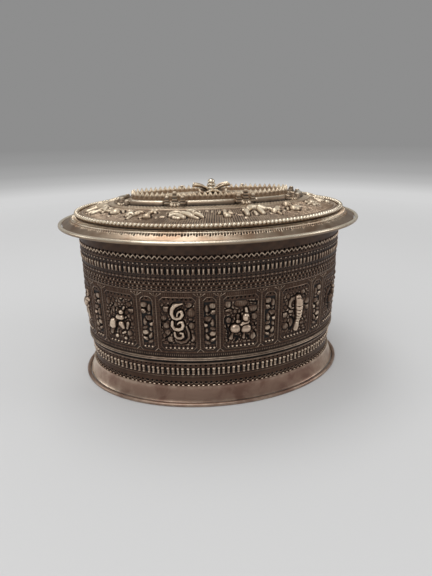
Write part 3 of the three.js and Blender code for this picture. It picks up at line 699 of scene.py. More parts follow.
def panelZone(along, height):  # relief and shade of the framed zone
    form = panelForm
    girth = girthOf(wallReach)
    module = girth / form["count"]
    s, z = np.meshgrid(along, height)
    relief, shade = np.zeros(s.shape), np.zeros(s.shape)
    inner, pillarOff = np.full(s.shape, 1e3), np.full(s.shape, 1e3)
    frameMiddle = (form["frameTop"] + form["frameFoot"]) / 2
    for i in range(form["count"]):
        for wide, part, width in ((True, 0, module - form["narrow"]), (False, 0.5, form["narrow"])):
            middle = form["shift"] + module * (i + part)
            edges = (middle - width / 2, middle, middle + width / 2)
            left, centre, right = (unevenAlong(place, girth, -form["crowding"], 1) for place in edges)
            x = (s - centre + girth / 2) % girth - girth / 2
            halfWide = (right - left) / 2
            near = np.abs(x[0]) < halfWide + 3
            if not near.any():
                continue
            x, pz = x[:, near], z[:, near]
            frameX = x - ((left + right) / 2 - centre)
            offPillar, known = frameX - halfWide, pillarOff[:, near]  # to this panel's right pillar
            pillarOff[:, near] = np.where(np.abs(offPillar) < np.abs(known), offPillar, known)
            boxWide, boxHigh = halfWide - form["inset"], form["frameTop"] - frameMiddle
            outside = chamferedBox(frameX, pz - frameMiddle, boxWide, boxHigh, form["chamfer"])
            inside = fade(-outside, 0.15, 0.5) * band(pz, *form["field"], 0.5)
            fill, dim = (wideFill if wide else narrowFill)(x, pz - form["middle"], i)
            fill = punchedFrame(fill * inside, frameX, pz, wide)
            taken = (outside < inner[:, near]) & (outside < 0)
            relief[:, near] = np.where(taken, fill, relief[:, near])
            shade[:, near] = np.where(taken, dim * inside, shade[:, near])
            inner[:, near] = np.minimum(inner[:, near], outside)
    off = np.abs(pillarOff)
    ladder = ridge(repeatOffsets(z, form["ladderPitch"])[0], *form["rung"]) * (off < form["ladderReach"])
    ticks = ridge(repeatOffsets(s, form["ladderPitch"])[0], *form["rung"])
    ticks *= band(z, form["frameTop"] + 0.3, form["forkTop"])
    grain = np.where(z > form["frameTop"] + 0.2, ticks, ladder * (z > form["apex"] - 0.4))
    relief = np.where(inner > 0, grain * fade(inner, 0.15, 0.35), relief)
    relief = over(relief, ridge(inner, 0.28, 0.42))
    upright = band(z, form["apex"] - 0.3, form["frameTop"] + 0.4, 0.3)
    relief = over(relief, ridge(off, form["pillar"], form["pillarRise"]) * upright)
    for slant in form["forkSlants"]:
        arm = np.abs(off - (z - form["frameTop"]) * slant) / math.hypot(1, slant)
        relief = over(relief, ridge(arm, 0.26, 0.55) * band(z, form["frameTop"], form["forkTop"], 0.3))
    foot = np.abs(off - (form["apex"] - z) * form["footSlant"]) / 1.38
    relief = over(relief, ridge(foot, 0.3, 0.55) * band(z, form["root"], form["apex"] + 0.2, 0.2))
    low, high = form["band"]
    uneven = form["bandUneven"]
    moulding = ridge(z - (low + high) / 2, (high - low) / 2, form["bandRise"])
    return over(relief, moulding * (1 - uneven + uneven * np.cos(s * form["bandPitch"]))), shade


# Rows chased round the upper wall

wallRows = {
    "zigzags": 144, "zigzag": 71.8, "zigzagRise": 0.65, "zigzagRidge": (0.3, 0.42),
    "zigzagMarks": [  # at a repeat or in the gap beside it: height, half width, half height, rise
        ("gap", 72.55, 0.6, 0.6, -0.95), ("repeat", 71.25, 0.66, 0.7, -1.0),
        ("gap", 70.3, 0.36, 0.4, -0.5),
    ],
    "repeats": 160,
    "marks": [
        ("repeat", 68.65, 0.5, 0.46, 0.5), ("gap", 67.35, 0.42, 0.45, -0.65),
        ("gap", 62.75, 0.42, 0.38, -0.6), ("repeat", 62.05, 0.8, 0.36, 0.36),
        ("repeat", 60.95, 0.42, 0.46, -0.7), ("gap", 60.95, 0.42, 0.46, -0.5),
        ("gap", 59.85, 0.72, 0.6, -1.0), ("repeat", 59.85, 0.5, 0.5, 0.26),
        ("repeat", 58.3, 0.72, 0.6, -1.0), ("gap", 58.3, 0.5, 0.5, 0.26), ("gap", 57.15, 0.5, 0.42, 0.4),
        ("repeat", 57.15, 0.3, 0.3, -0.35),
    ],
    "tongues": {
        "between": (64.0, 67.1), "soft": 0.5,
        "halfWidth": (0.5, 0.64), "rise": (0.42, 0.6),  # at the foot and the head
        "groove": (0.42, 0.6),
    },
    "arches": 64.0, "archRadius": 0.62, "archRidge": (0.2, 0.3),
    "lines": [(69.5, 0.26, 0.22), (56.4, 0.3, 0.36)],  # height, half width, rise
}


def handDrawn(s):  # the punch never lands quite evenly
    return s + 0.14 * np.sin(s * 0.61) + 0.1 * np.sin(s * 1.37 + 1)


def punched(on, off, z, marks):  # rows of dots and pits
    made = np.zeros(z.shape)
    for place, level, halfWide, halfHigh, rise in marks:
        made += lobe(on if place == "repeat" else off, z, (0, level), (halfWide, halfHigh), rise)
    return made


def reeded(on, off, z, form):  # upright bars that widen upwards, with a groove between each two
    low, high = form["between"]
    share = np.clip((z - low) / (high - low), 0, 1)
    halfWidth, rise = (foot + (head - foot) * share for foot, head in (form["halfWidth"], form["rise"]))
    return band(z, low, high, form["soft"]) * (ridge(on, halfWidth, rise) - ridge(off, *form["groove"]))


def upperRows(s, z):
    form = wallRows
    s = handDrawn(s)
    girth = girthOf(wallReach)
    pitch = girth / form["zigzags"]
    on, off = repeatOffsets(s, pitch)
    wave = form["zigzag"] + form["zigzagRise"] * (1 - 4 * np.abs(on) / pitch)
    slope = 4 * form["zigzagRise"] / pitch
    made = ridge((z - wave) / math.hypot(1, slope), *form["zigzagRidge"])
    made += punched(on, off, z, form["zigzagMarks"])
    on, off = repeatOffsets(s, girth / form["repeats"])
    made += punched(on, off, z, form["marks"]) + reeded(on, off, z, form["tongues"])
    arch = np.hypot(off, z - form["arches"]) - form["archRadius"]
    made += ridge(arch, *form["archRidge"]) * (z > form["arches"])
    for level, halfWidth, rise in form["lines"]:
        made = over(made, ridge(z - level, halfWidth, rise))
    return made


hemRows = {"reeds": 390, "reedTop": 26.05, "reedFoot": 24.75}


def lowerRows(s, z):
    form = hemRows
    on, _ = repeatOffsets(s, girthOf(wallReach) / form["reeds"])
    return band(z, form["reedFoot"], form["reedTop"]) * ridge(on, 0.3, 0.36)


coverForm = {
    "step": 0.23, "columns": 1700, "plainColumns": 600, "panelColumns": 730,
    "panelFoot": 26.2, "panelTop": 56.1, "netTop": 63.4, "rowsTop": 73.4,
    "plainTone": -0.02, "rowTone": -0.1,
}


def coverWall(material):
    form = coverForm
    inside = wallReach - sheet["thickness"]
    step = form["step"]
    levels = {
        "hemRows": (wallLow.z, form["panelFoot"], lowerRows, form["columns"]),
        "netRows": (form["panelTop"], form["netTop"], upperRows, form["columns"]),
        "tongueRows": (form["netTop"], form["rowsTop"], upperRows, form["columns"]),
        "plainBand": (form["rowsTop"], wallHigh.z, None, form["plainColumns"]),
    }
    made = []
    for name, (low, high, rows, columns) in levels.items():
        angles, along = evenAngles(wallReach, columns)
        face = alongProfile([(wallReach, low), (wallReach, high)], step if rows else 1)
        s, z = np.meshgrid(along, face[:, 1])
        relief = rows(s, z) if rows else 0.03 * np.sin(s * 0.9) * np.sin(z * 1.3)
        tone = form["rowTone"] if rows else form["plainTone"]
        back = [(inside, high), (inside, low)]
        part = ovalSheet("cover_" + name, face, back, angles, relief, gain=1.15, step=step, tone=tone)
        made.append(part)
    girth = girthOf(wallReach)
    face = alongProfile([(wallReach, form["panelFoot"]), (wallReach, form["panelTop"])], step)
    back = [(inside, form["panelTop"]), (inside, form["panelFoot"])]
    for i, name in enumerate(("cover_panels_front", "cover_panels_back")):
        angles, along = evenAngles(wallReach, form["panelColumns"], (2 * i - 1) * girth / 4, girth / 2)
        relief, shade = panelZone(along, face[:, 1])
        part = ovalSheet(name, face, back, angles, relief, wraps=False, gain=0.88, step=step, tone=shade)
        made.append(part)
    for part in made:
        seat(part, "cover", "dark_silver", material, "cover_wall")
    print("cover wall: rows and panels")


# Neck of the base, between the ledge and the foot

neckForm = {
    "columns": 1700, "plainSteps": 300, "step": 0.24, "low": 7.4, "repeats": 144,
    "upperWear": 0.46, "footWear": 0.4,
    "balusters": {
        "between": (14.3, 18.1), "soft": 0.4,
        "halfWidth": (0.6, 0.75), "rise": (0.45, 0.45),
        "groove": (0.42, 0.6),
    },
    "marks": [
        ("gap", 19.1, 0.55, 0.5, -0.8), ("repeat", 17.55, 0.75, 0.62, 0.42),
        ("repeat", 14.65, 0.7, 0.45, 0.38), ("gap", 10.0, 0.72, 0.6, -0.95),
        ("repeat", 9.1, 0.6, 0.48, -0.85),
    ],
    "line": (13.3, 0.3, 0.22), "dots": (8.35, (0.7, 0.4), 0.5),
}


def neckRows(s, z):
    form = neckForm
    on, off = repeatOffsets(handDrawn(s), girthOf(linerReach) / form["repeats"])
    made = punched(on, off, z, form["marks"]) + reeded(on, off, z, form["balusters"])
    level, halfWidth, rise = form["line"]
    made = over(made, ridge(z - level, halfWidth, rise))
    level, size, rise = form["dots"]
    return over(made, lobe(on, z, (0, level), size, rise))


def innerWall(material):
    form = neckForm
    low, neckTop, top = form["low"], ledgeLow.z, linerHigh.z
    inside = linerReach - sheet["thickness"]
    angles, along = evenAngles(linerReach, form["columns"])
    face = alongProfile([(linerReach, low), (linerReach, neckTop)], form["step"])
    s, z = np.meshgrid(along, face[:, 1])
    back = [(inside, neckTop), (inside, low)]
    relief = neckRows(s, z)
    neck = ovalSheet("inner_wall_neck", face, back, angles, relief, gain=1.2, step=form["step"], tone=0.02)
    lip = sheet["thickness"] / 2
    rim = [
        (linerReach - lip + lip * math.cos(a), top - lip + lip * math.sin(a))
        for a in np.linspace(0, math.pi, 9)
    ]
    middle = (neckTop + top) / 2
    section = [(linerReach, neckTop), (linerReach, middle), *rim, (inside, middle), (inside, neckTop)]
    upper = spunRing("inner_wall_upper", section, form["plainSteps"], wearAndPaintedLight=form["upperWear"])
    section = [(linerReach, linerLow.z), (linerReach, low), (inside, low), (inside, linerLow.z)]
    lower = spunRing("inner_wall_foot", section, form["plainSteps"], wearAndPaintedLight=form["footWear"])
    for part in (neck, upper, lower):
        seat(part, "base", "dark_silver", material, "inner_wall")
    print("inner wall and its chased neck")


footForm = {
    "wireRadius": 0.9, "lip": 1.3, "collar": 1.6, "collarRound": [(0, 0.25), (0.12, 0.05), (0.3, 0)],
    "steps": 480,
    "wireWear": 0.66, "skirtWear": 0.53,
    # endReflection paints the skirt lighter towards the box's two ends, as a painted reflection of the
    # bright room beside them.
    "moreAtFoot": (0.14, 3), "moreAtTop": (0.1, 6.5), "endReflection": 0.38,  # and the height it starts from
    "bendShares": [(1, 1), (0.86, 0.93), (0.68, 0.74), (0.45, 0.5), (0.24, 0.26), (0.08, 0.06), (0, -0.1)],
}


def foot(material):
    form = footForm
    radius = form["wireRadius"]
    wire = [
        (footHigh.x - radius + radius * math.cos(a), max(0.04, radius * 0.9 + radius * math.sin(a)))
        for a in np.linspace(0, 2 * math.pi, 25)[:-1]
    ]
    edge = spunRing("foot_edge", wire, form["steps"], wearAndPaintedLight=form["wireWear"])
    seat(edge, "base", "worn_silver", material, "foot_wire")
    top = linerReach + sheet["solder"] + sheet["thickness"]
    drop = flareHigh.z - form["collar"] - form["lip"]
    outer = [
        (top + (flareHigh.x - top) * spread, form["lip"] + drop * (1 - fall))
        for spread, fall in form["bendShares"]
    ]
    outer += [(top - inwards, flareHigh.z - under) for inwards, under in form["collarRound"]]
    inner = [(r - sheet["thickness"], z) for r, z in outer[:-2]]
    skirt = spunRing("foot_skirt", outer + inner[::-1], form["steps"])
    points = pointsOf(skirt)
    height, ends = points[:, 2], np.abs(points[:, 0]) / flareHigh.x
    (atFoot, footTop), (atTop, topFoot) = form["moreAtFoot"], form["moreAtTop"]
    worn = atFoot * np.clip((footTop - height) / 2, 0, 1) + atTop * np.clip(height - topFoot, 0, 1)
    setWearAndPaintedLight(skirt, np.clip(form["skirtWear"] + worn + form["endReflection"] * ends ** 5, 0, 0.95))
    seat(skirt, "base", "worn_silver", material, "foot_flare")
    print("foot")


ledgeForm = {
    "steps": 480, "round": 0.3,
    "shadedTop": 0.35,  # height of the ledge's upper edge that is painted dark as the shadow in the gap under the hem
    "gapShadow": 0.05, "ledgeWear": 0.68, "darkGrooveAndGap": 0.04, "beadWear": 0.74,
    "beadRoot": 0.15,  # of the hem's two beads, out from the wall
    "beadRim": 0.05,  # which they leave to the hem's full reach
}


def ledgeAndHem(material):
    form = ledgeForm
    bevel = form["round"]
    inside = linerReach + sheet["solder"]
    low, high = ledgeLow.z, ledgeHigh.z
    section = [
        (inside, low), (wallReach - 2 * bevel, low), (wallReach - bevel, low + 0.1),
        (wallReach, low + 2 * bevel), (wallReach, high - 2 * bevel),
        (wallReach - bevel / 2, high - bevel / 2), (wallReach - 2 * bevel, high), (inside, high),
    ]
    ledge = spunRing("ledge", section, form["steps"])
    # The ledge's upper edge is painted dark as the shadow in the gap under the hem.
    dark = pointsOf(ledge)[:, 2] > high - form["shadedTop"]
    setWearAndPaintedLight(ledge, np.where(dark, form["gapShadow"], form["ledgeWear"]))
    seat(ledge, "base", "worn_silver", material, "ledge_wire")
    low, high = hemLow.z, hemHigh.z
    proud = hemHigh.x - wallReach
    section = [(wallReach + 0.05, low), (wallReach + 0.12, low + 0.55)]
    root, rim = form["beadRoot"], form["beadRim"]
    for beadFoot, beadHead in ((low + 0.65, low + 1.4), (low + 1.5, high - 0.02)):
        centre, half = (beadFoot + beadHead) / 2, (beadHead - beadFoot) / 2
        section += [
            (wallReach + root + (proud - root - rim) * math.cos(a), centre + half * math.sin(a))
            for a in np.linspace(-math.pi / 2, math.pi / 2, 9)
        ]
    section.append((wallReach + 0.05, high))
    hem = spunRing("hem", section, form["steps"])
    points = pointsOf(hem)
    # The hem's lower lip is painted dark as the shadow of the gap above the ledge, and the groove between
    # its two beads is darkened.
    dark = (np.abs(points[:, 2] - low - 1.45) < 0.12) | (points[:, 2] < low + 0.66)
    setWearAndPaintedLight(hem, np.where(dark, form["darkGrooveAndGap"], form["beadWear"]))
    seat(hem, "cover", "worn_silver", material, "hem_wire")
    print("ledge and hem")


floorForm = {"steps": 240, "bevel": 0.2, "rim": 3, "dish": (8, 0.15), "middle": (20, 0.1), "wearAndPaintedLight": 0.48}


def floorPlate(material):
    form = floorForm
    low, high, reach = floorLow.z, floorHigh.z, floorHigh.x
    dishAt, dishDeep = form["dish"]
    middleReach, middleDeep = form["middle"]
    section = [
        (0, low), (reach, low), (reach, high - form["bevel"]), (reach - form["bevel"], high),
        (reach - form["rim"], high), (reach - dishAt, high - dishDeep),
        (middleReach, high - middleDeep), (0, high - middleDeep),
    ]
    plate = spunRing("floor_plate", section, form["steps"], wearAndPaintedLight=form["wearAndPaintedLight"], closed=False)
    seat(plate, "base", "dark_silver", material, "floor_plate")
    print("floor")


flangeForm = {
    "columns": 1920, "step": 0.26,
    "rimRadius": 0.9,
    "slopeLift": 0.4, "slopeCurve": 1.35,  # from the rim's middle up to the land
    "landMargin": 0.9,  # of the land outside the beads
    "landReturn": 3.4,  # how far it runs in past the wall
    "ridgeOut": 6.5,  # from the rim's outer edge to the bright ridge
    "ridge": (0.26, 0.36), "ridgeFoot": 0.25,
    "strokes": 340, "strokeHalf": 0.42, "strokeDepth": 1.1, "strokeLength": 2.2,  # inside the ridge
    "ticks": 320, "tickHalf": 0.34, "tickDepth": 0.5,  # outside it
}


def flange(material, rimMaterial):
    form = flangeForm
    radius = form["rimRadius"]
    middle = (rimLow.z + rimHigh.z) / 2
    turns = np.linspace(0, 2 * math.pi, 25)[:-1]
    wire = [(rimHigh.x - radius + radius * math.cos(a), middle + radius * math.sin(a)) for a in turns]
    rim = spunRing("rim_edge", wire, 600)
    points = pointsOf(rim)
    setWearAndPaintedLight(rim, np.clip(0.62 + 0.5 * (points[:, 2] - middle), 0.4, 0.95))
    seat(rim, "cover", "bright_silver", rimMaterial, "rim_wire")
    outer, landTop = flangeHigh.x, flangeHigh.z
    land = beadHigh.x + form["landMargin"]
    slopeFoot = middle + form["slopeLift"]
    slope = [
        (outer - (outer - land) * share, slopeFoot + (landTop - slopeFoot) * share ** form["slopeCurve"])
        for share in np.linspace(0, 1, 9)
    ]
    inside = wallReach - form["landReturn"]
    face = alongProfile([*slope, (beadHigh.x - 2.4, landTop)], form["step"])
    ridgeReach = rimHigh.x - form["ridgeOut"]
    angles, along = evenAngles(ridgeReach, form["columns"])
    s, reach = np.meshgrid(along, face[:, 0])
    _, gap = repeatOffsets(s, along[-1] / form["strokes"])
    tick, _ = repeatOffsets(s + 0.25 * np.sin(s * 0.37), along[-1] / form["ticks"])
    fromRidge = reach - ridgeReach
    within = band(fromRidge, -form["strokeLength"], -form["ridgeFoot"], 0.15)
    length = 0.9 + 0.5 * np.sin(s * 1.7) * np.sin(s * 0.53)  # the ticks are of uneven length
    outside = fade(fromRidge, form["ridgeFoot"], form["ridgeFoot"] + 0.15)
    outside *= fade(fromRidge, 0.3 + length, 0.1 + length)
    strokes = within * ridge(gap, form["strokeHalf"], 1)
    ticks = outside * ridge(tick, form["tickHalf"], 1)
    relief = over(-form["strokeDepth"] * strokes, ridge(fromRidge, *form["ridge"]))
    relief -= form["tickDepth"] * ticks
    # The band of strokes inside the ridge is painted lighter to lift it where it lies dim under the beads;
    # the strokes and ticks are darker chased lines.
    tone = 0.2 + 0.28 * within - 0.55 * strokes - 0.3 * ticks
    under = [(r, height - sheet["thickness"]) for r, height in [*slope, (inside, landTop)]]
    plate = ovalSheet("flange", face, [(inside, landTop), *under[::-1]], angles, relief,
                      gain=1.25, step=form["step"], tone=tone)
    seat(plate, "cover", "worn_silver", material, "flange_plate")
    print("flange and rim")


# Figures raised on the dome. Each stands at mm along its own oval from the front, and at that oval's reach

domeDesigns = {
    "lump": [
        (1.5, ball(0, 0, 2.1, 1.9)), (1.0, [(-2.6, 1.6, 0.6), (-3.6, 0.2, 0.5)]),
        (1.0, [(2.4, 2.2, 0.6), (3.6, 1.0, 0.5)]),
    ],
    "hourglass": [
        (0.9, [(-2.2, -3.4, 0.6), (-3.2, -4.6, 0.5)]), (1.2, [(-1.3, 4.6, 0.5), (1.2, 0.6, 0.6)]),
        (1.3, [(1.4, 4.6, 0.5), (-1.1, 0.4, 0.6), (-1.2, -1.4, 0.8)]), (1.6, ball(-0.9, -3.8, 1.5, 1.3)),
    ],
    "limbs": [
        (1.2, [(-6.2, 0.6, 0.5), (-5.2, 2.4, 0.6), (-3.2, 2.6, 0.6), (-1.6, 1.2, 0.7)]),
        (1.5, [(-6.0, -1.6, 0.7), (-4.2, -0.4, 0.8), (-2.4, -1.4, 0.9), (-0.8, -3.6, 0.9)]),
        (1.4, [(-4.6, -3.4, 0.6), (-2.6, -4.2, 0.7)]),
        (1.6, [(-1.6, 1.0, 0.9), (0.8, -0.4, 1.1), (2.4, -2.6, 1.0)]),
        (1.5, [(0.6, 3.8, 0.7), (2.4, 3.0, 0.9), (3.4, 0.8, 1.0)]),
        (1.4, [(3.6, 0.4, 0.8), (5.4, -1.0, 0.8), (6.2, -2.8, 0.6)]),
        (1.2, [(3.2, -3.4, 0.6), (4.6, -4.4, 0.5)]),
    ],
    "upright": [
        (1.1, [(-1.8, 1.8, 0.5), (-2.6, 0.2, 0.4)]), (1.4, [(0.2, 2.8, 0.7), (-0.2, -0.6, 0.8)]),
        (1.1, [(1.4, 0.6, 0.5), (2.6, -0.4, 0.4)]), (1.5, ball(0.3, -2.8, 1.3, 1.1)),
    ],
    "beast": [
        (1.1, [(-0.6, -1.6, 0.6), (-0.8, -3.9, 0.6)]),
        (1.6, [(-3.2, 1.2, 1.2), (-0.6, 3.6, 1.3), (2.4, 2.6, 1.3)]),
        (1.5, [(-3.6, 0.4, 1.0), (-4.3, -3.4, 0.8)]), (1.5, [(2.4, 1.4, 1.1), (2.2, -3.4, 0.8)]),
        (1.7, [(3.0, 3.0, 1.2), (4.6, 1.2, 0.9)]),
        (1.0, arc((-4.4, 3.4), (1.2, 1.8), -90, 110, 0.5, 0.35)),
    ],
    "bird": [
        (1.1, arc((-2.4, 0.8), (1.6, 2.6), -60, 120, 0.7, 0.4)),
        (1.4, [(-0.6, -0.4, 1.6), (1.0, 0.6, 1.3)]),
        (1.5, [(1.2, 0.8, 0.9), (2.0, 2.6, 0.8), (3.2, 2.5, 0.4)]),
        (1.1, [(0.2, -1.6, 0.5), (0.0, -4.0, 0.4)]),
    ],
    "flower": [
        *[
            (1.1, [(r * math.cos(a), r * math.sin(a), half) for r, half in ((1.2, 0.7), (2.5, 0.6))])
            for a in np.linspace(0, 2 * math.pi, 7)[:-1]
        ],
        (1.6, ball(0, 0, 1.3, 1.2)),
    ],
}

domePlaces = [  # the photo's own, then others of the same kinds round the far side
    (-76.0, 56.0, "bird"), (-63.0, 56.5, "beast"), (-50.1, 55.5, "lump"), (-40.6, 56.2, "bird"),
    (-31.2, 54.4, "hourglass"), (-16.0, 55.0, "limbs"), (1.1, 55.4, "upright"), (15.0, 54.6, "beast"),
    (25.0, 56.0, "bird"), (35.7, 56.4, "lump"), (33.6, 51.4, "bird"), (49.9, 54.6, "flower"),
    (62.8, 56.4, "upright"),
    (75.0, 55.5, "beast"), (88.0, 55.0, "flower"), (104.0, 55.0, "limbs"), (122.0, 55.0, "beast"),
    (138.0, 55.0, "bird"), (154.0, 55.0, "flower"), (170.0, 55.0, "limbs"), (188.0, 55.0, "beast"),
    (204.0, 55.0, "bird"), (218.0, 55.0, "flower"),
]

domeBandForm = {
    "columns": 1280, "step": 0.25, "innerReach": 41.5, "backReaches": (41.5, 48, 54, 60),
    "figureSize": 1.15, "slopeStretch": 1.06, "figureBand": (50.8, 62.9), "figureBox": 10,
    "border": 63.2, "borderRidge": (0.3, 0.2), "innerBorder": 50.2, "innerRidge": (0.35, 0.22),
    "strokePitch": 0.98, "stroke": (0.34, 0.7),
    "leafSeed": 7, "leaves": 150, "leafOval": 55, "leafBand": (52.5, 60), "leafBox": 2.4,
}


def domeBand(material):
    form = domeBandForm
    spring = domeLow.z + domeForm["edge"]
    reaches = np.linspace(domeReach, form["innerReach"], 60)
    face = alongProfile([(domeReach, domeLow.z), *zip(reaches, domeHeight(reaches))], form["step"])
    angles, along = evenAngles(56, form["columns"])
    reach = np.broadcast_to(face[:, :1], (len(face), len(angles)))
    s = np.broadcast_to(along[None], reach.shape)
    x, y = reach * np.cos(angles)[None], halfWidthAt(reach) * np.sin(angles)[None]
    figure, away = np.zeros(x.shape), np.full(x.shape, 1e3)
    for place, figureReach, design in domePlaces:
        spot, out = placeAt(figureReach, place)
        dx, dy = x - spot.x, y - spot.y
        near = (np.abs(dx) < form["figureBox"]) & (np.abs(dy) < form["figureBox"])
        u = -dx[near] * out.y + dy[near] * out.x
        v = -(dx[near] * out.x + dy[near] * out.y) * form["slopeStretch"]
        size = form["figureSize"]
        height, off = figureRelief(u / size, v / size, domeDesigns[design])
        figure[near] = np.where(off < away[near], height, figure[near])
        away[near] = np.minimum(away[near], off)
    zone = band(reach, *form["figureBand"], 0.5)
    strokes = repeatOffsets(s + 0.2 * np.floor(reach / 1.3), form["strokePitch"])[0]
    draw = random.Random(form["leafSeed"])
    leafGirth = girthOf(form["leafOval"])
    leaves = np.zeros(x.shape)
    for i in range(form["leaves"]):  # small leaves that fill the ground between the figures
        spot, out = placeAt(draw.uniform(*form["leafBand"]), i * leafGirth / form["leaves"])
        dx, dy = x - spot.x, y - spot.y
        near = (np.abs(dx) < form["leafBox"]) & (np.abs(dy) < form["leafBox"])
        u, v = -dx[near] * out.y + dy[near] * out.x, -(dx[near] * out.x + dy[near] * out.y)
        leaf = (0, 0, draw.uniform(0.9, 1.5), draw.uniform(0.6, 0.9), draw.uniform(-90, 90))
        leaves[near] = np.maximum(leaves[near], leafRelief(u, v, [leaf], 0.6) + 0.1)
    ground = np.maximum(ridge(strokes, *form["stroke"]) - 0.5, leaves - 0.1)
    ground = np.minimum(ground, -0.9 + 1.1 * np.clip(away, 0, 1.2)) * zone
    relief = np.where(away < 0, np.maximum(figure, 0.1), ground) * zone
    relief = over(relief, ridge(reach - form["border"], *form["borderRidge"]))
    relief = over(relief, ridge(reach - form["innerBorder"], *form["innerRidge"]))
    plain = fade(reach, form["innerBorder"], form["innerBorder"] - 0.4)
    relief += 0.09 * np.sin(s * 3.1) * np.sin(reach * 3.3) * plain
    relief *= fade(face[:, 1:], spring - 0.4, spring + 0.2)
    wallInside = domeReach - sheet["thickness"]
    back = [(r, float(domeHeight(r)) - sheet["thickness"]) for r in (*form["backReaches"], wallInside)]
    back.append((wallInside, domeLow.z))
    blotches = 0.07 * np.sin(s * 0.9 + 2 * np.sin(reach * 1.1)) * np.sin(reach * 1.7 + np.sin(s * 0.6))
    # The band's tone is raised, most on the plain part next to the crown, as a painted reflection of a
    # bright ceiling; the blotches vary at random and the ground between the figures is darker.
    tone = 0.16 + 0.2 * plain + zone * (away > 0) * (blotches - 0.13)
    bandPiece = ovalSheet("dome_band", face, back, angles, relief, gain=1.2, step=form["step"], tone=tone)
    seat(bandPiece, "cover", "worn_silver", material, "dome_plate")
    print("dome band")


crownForm = {
    "columns": 480, "leaves": 24, "scale": 6, "scaleRise": 0.35, "middle": 0.6, "scaled": (9, 40.5),
    "backReaches": (0.6, 12, 24, 34, 41.5),
}


def domeCrown(material):
    form = crownForm
    reaches = np.linspace(domeBandForm["innerReach"], form["middle"], 110)
    face = np.column_stack([reaches, domeHeight(reaches)])
    angles, _ = evenAngles(30, form["columns"])
    turn = np.linspace(0, 2 * math.pi, len(angles))[None]
    reach = face[:, :1]
    petals = np.abs(np.cos(turn * form["leaves"] / 2 + 0.5 * np.floor(reach / form["scale"]) * math.pi))
    scales = form["scaleRise"] * petals * np.abs(np.sin(math.pi * reach / form["scale"])) ** 0.7
    relief = scales * band(reach, *form["scaled"], 1)
    back = [(r, float(domeHeight(r)) - sheet["thickness"]) for r in form["backReaches"]]
    # The crown's tone is raised as a painted reflection of a bright ceiling in its near-level top.
    crown = ovalSheet("dome_crown", face, back, angles, relief, gain=1.2, step=0.38, tone=0.3)
    seat(crown, "cover", "worn_silver", material, "dome_plate")
    print("dome crown")


beadForm = {"raised": 0.4, "count": 187, "halfWide": 0.92, "radius": 1.1, "slant": 0.35}


def beads(material):
    form = beadForm
    reach, middle = beadHigh.x - form["radius"], (beadLow.z + beadHigh.z) / 2 + form["raised"]
    girth = girthOf(reach)
    deselectAll()
    bpy.ops.mesh.primitive_uv_sphere_add(segments=8, ring_count=5, radius=mm)
    template = active("bead")
    bpy.ops.object.shade_smooth()
    base = pointsOf(template)
    parts = []
    for i in range(form["count"]):
        spot, out = placeAt(reach, girth * i / form["count"])
        side = Vector((-out.y, out.x, 0))
        upright = side * form["slant"] + Vector((0, 0, form["radius"]))
        axes = np.array([out * form["radius"], side * form["halfWide"], upright])
        bead = copyOf(template, "bead")
        setPoints(bead, base @ axes + np.array([spot.x, spot.y, middle]))
        parts.append(bead)
    bpy.data.objects.remove(template)
    ring = joinAll(parts, "bead_ring")
    height = (pointsOf(ring)[:, 2] - beadLow.z) / (beadHigh.z - beadLow.z)
    setWearAndPaintedLight(ring, 0.2 + 0.85 * np.clip(height, 0, 0.85))
    seat(ring, "cover", "bright_silver", material, "beaded_wire")
    print("beads")


# Ring of half-round bars with knots between them

ringForm = {
    "count": 8, "shift": -3.4, "spread": 4.4, "knotLength": 10.4,
    "steps": 30, "sides": 14, "endRound": 1.0, "upright": 0.6, "sink": 0.4, "overlap": 0.5,
    "lean": 0.09,  # the seat's fall outwards
}


def knotAlong(index):
    girth = girthOf(ringReach)
    place = (index + 0.5) * girth / ringForm["count"]
    return ringForm["shift"] + unevenAlong(place, girth, ringForm["spread"], 2)


def ringBar(index, material):
    form = ringForm
    start = knotAlong(index - 1) + form["knotLength"] / 2 - form["overlap"]
    end = knotAlong(index) - form["knotLength"] / 2 + form["overlap"]
    radius, half = sheet["barRadius"], (end - start) / 2
    seatHeight = float(domeHeight(ringReach))
    rings = []
    for place in np.linspace(-half, half, form["steps"]):
        inEnd = np.clip((abs(place) - half + form["endRound"]) / form["endRound"], 0, 1)
        size = radius * math.sqrt(max(0.05, 1 - inEnd ** 2))
        spot, out = placeAt(ringReach, start + half + place)
        turns = np.linspace(0, 2 * math.pi, form["sides"] + 1)
        across = size * np.cos(turns)
        up = np.where(np.sin(turns) > 0, form["upright"] + size * np.sin(turns), -form["sink"])
        up -= form["lean"] * across
        rings.append(np.column_stack([spot.x + out.x * across, spot.y + out.y * across, seatHeight + up]))
    bar = gridPiece(f"bar_{index + 1}", np.array(rings))
    clean(bar, 60, holes=True, outwards=True)
    share = (pointsOf(bar)[:, 2] - seatHeight) / (radius + form["upright"])
    setWearAndPaintedLight(bar, np.clip(0.12 + 0.88 * np.clip(share, 0, 1) ** 1.8, 0, 0.95))
    seat(bar, "cover", "bright_silver", material, f"ring_bar_{index + 1}")


knotForm = {
    "towers": [(0.2, 0, 1.0, 4), (0.5, 3.6, 0.85, 3), (0.5, -3.6, 0.85, 3)],  # out, along, size, tiers
    "tallness": [1.3, 0.65, 0.7, 0.85, 0.85, 0.65, 0.6, 1.3],  # the front's two stand highest
    "towerWidth": 3.7, "towerFoot": 0.6, "tierHeight": 1.25, "tierShrink": 0.83, "tierStep": 0.86,
    "eaves": 1.3, "tierTop": 0.85, "bevel": 0.14,  # width of a tier's foot and head over its own width
    "pad": (2.6, 4.7, 1.3), "bandRadius": 0.3, "bandReach": 2.5, "bandShape": (1, 1.3, 0.62),
    "leafLength": 2.9, "leafWidth": 1.2, "leafHeight": 0.95, "leafTurns": (-64, -34, 0, 34, 64),
}


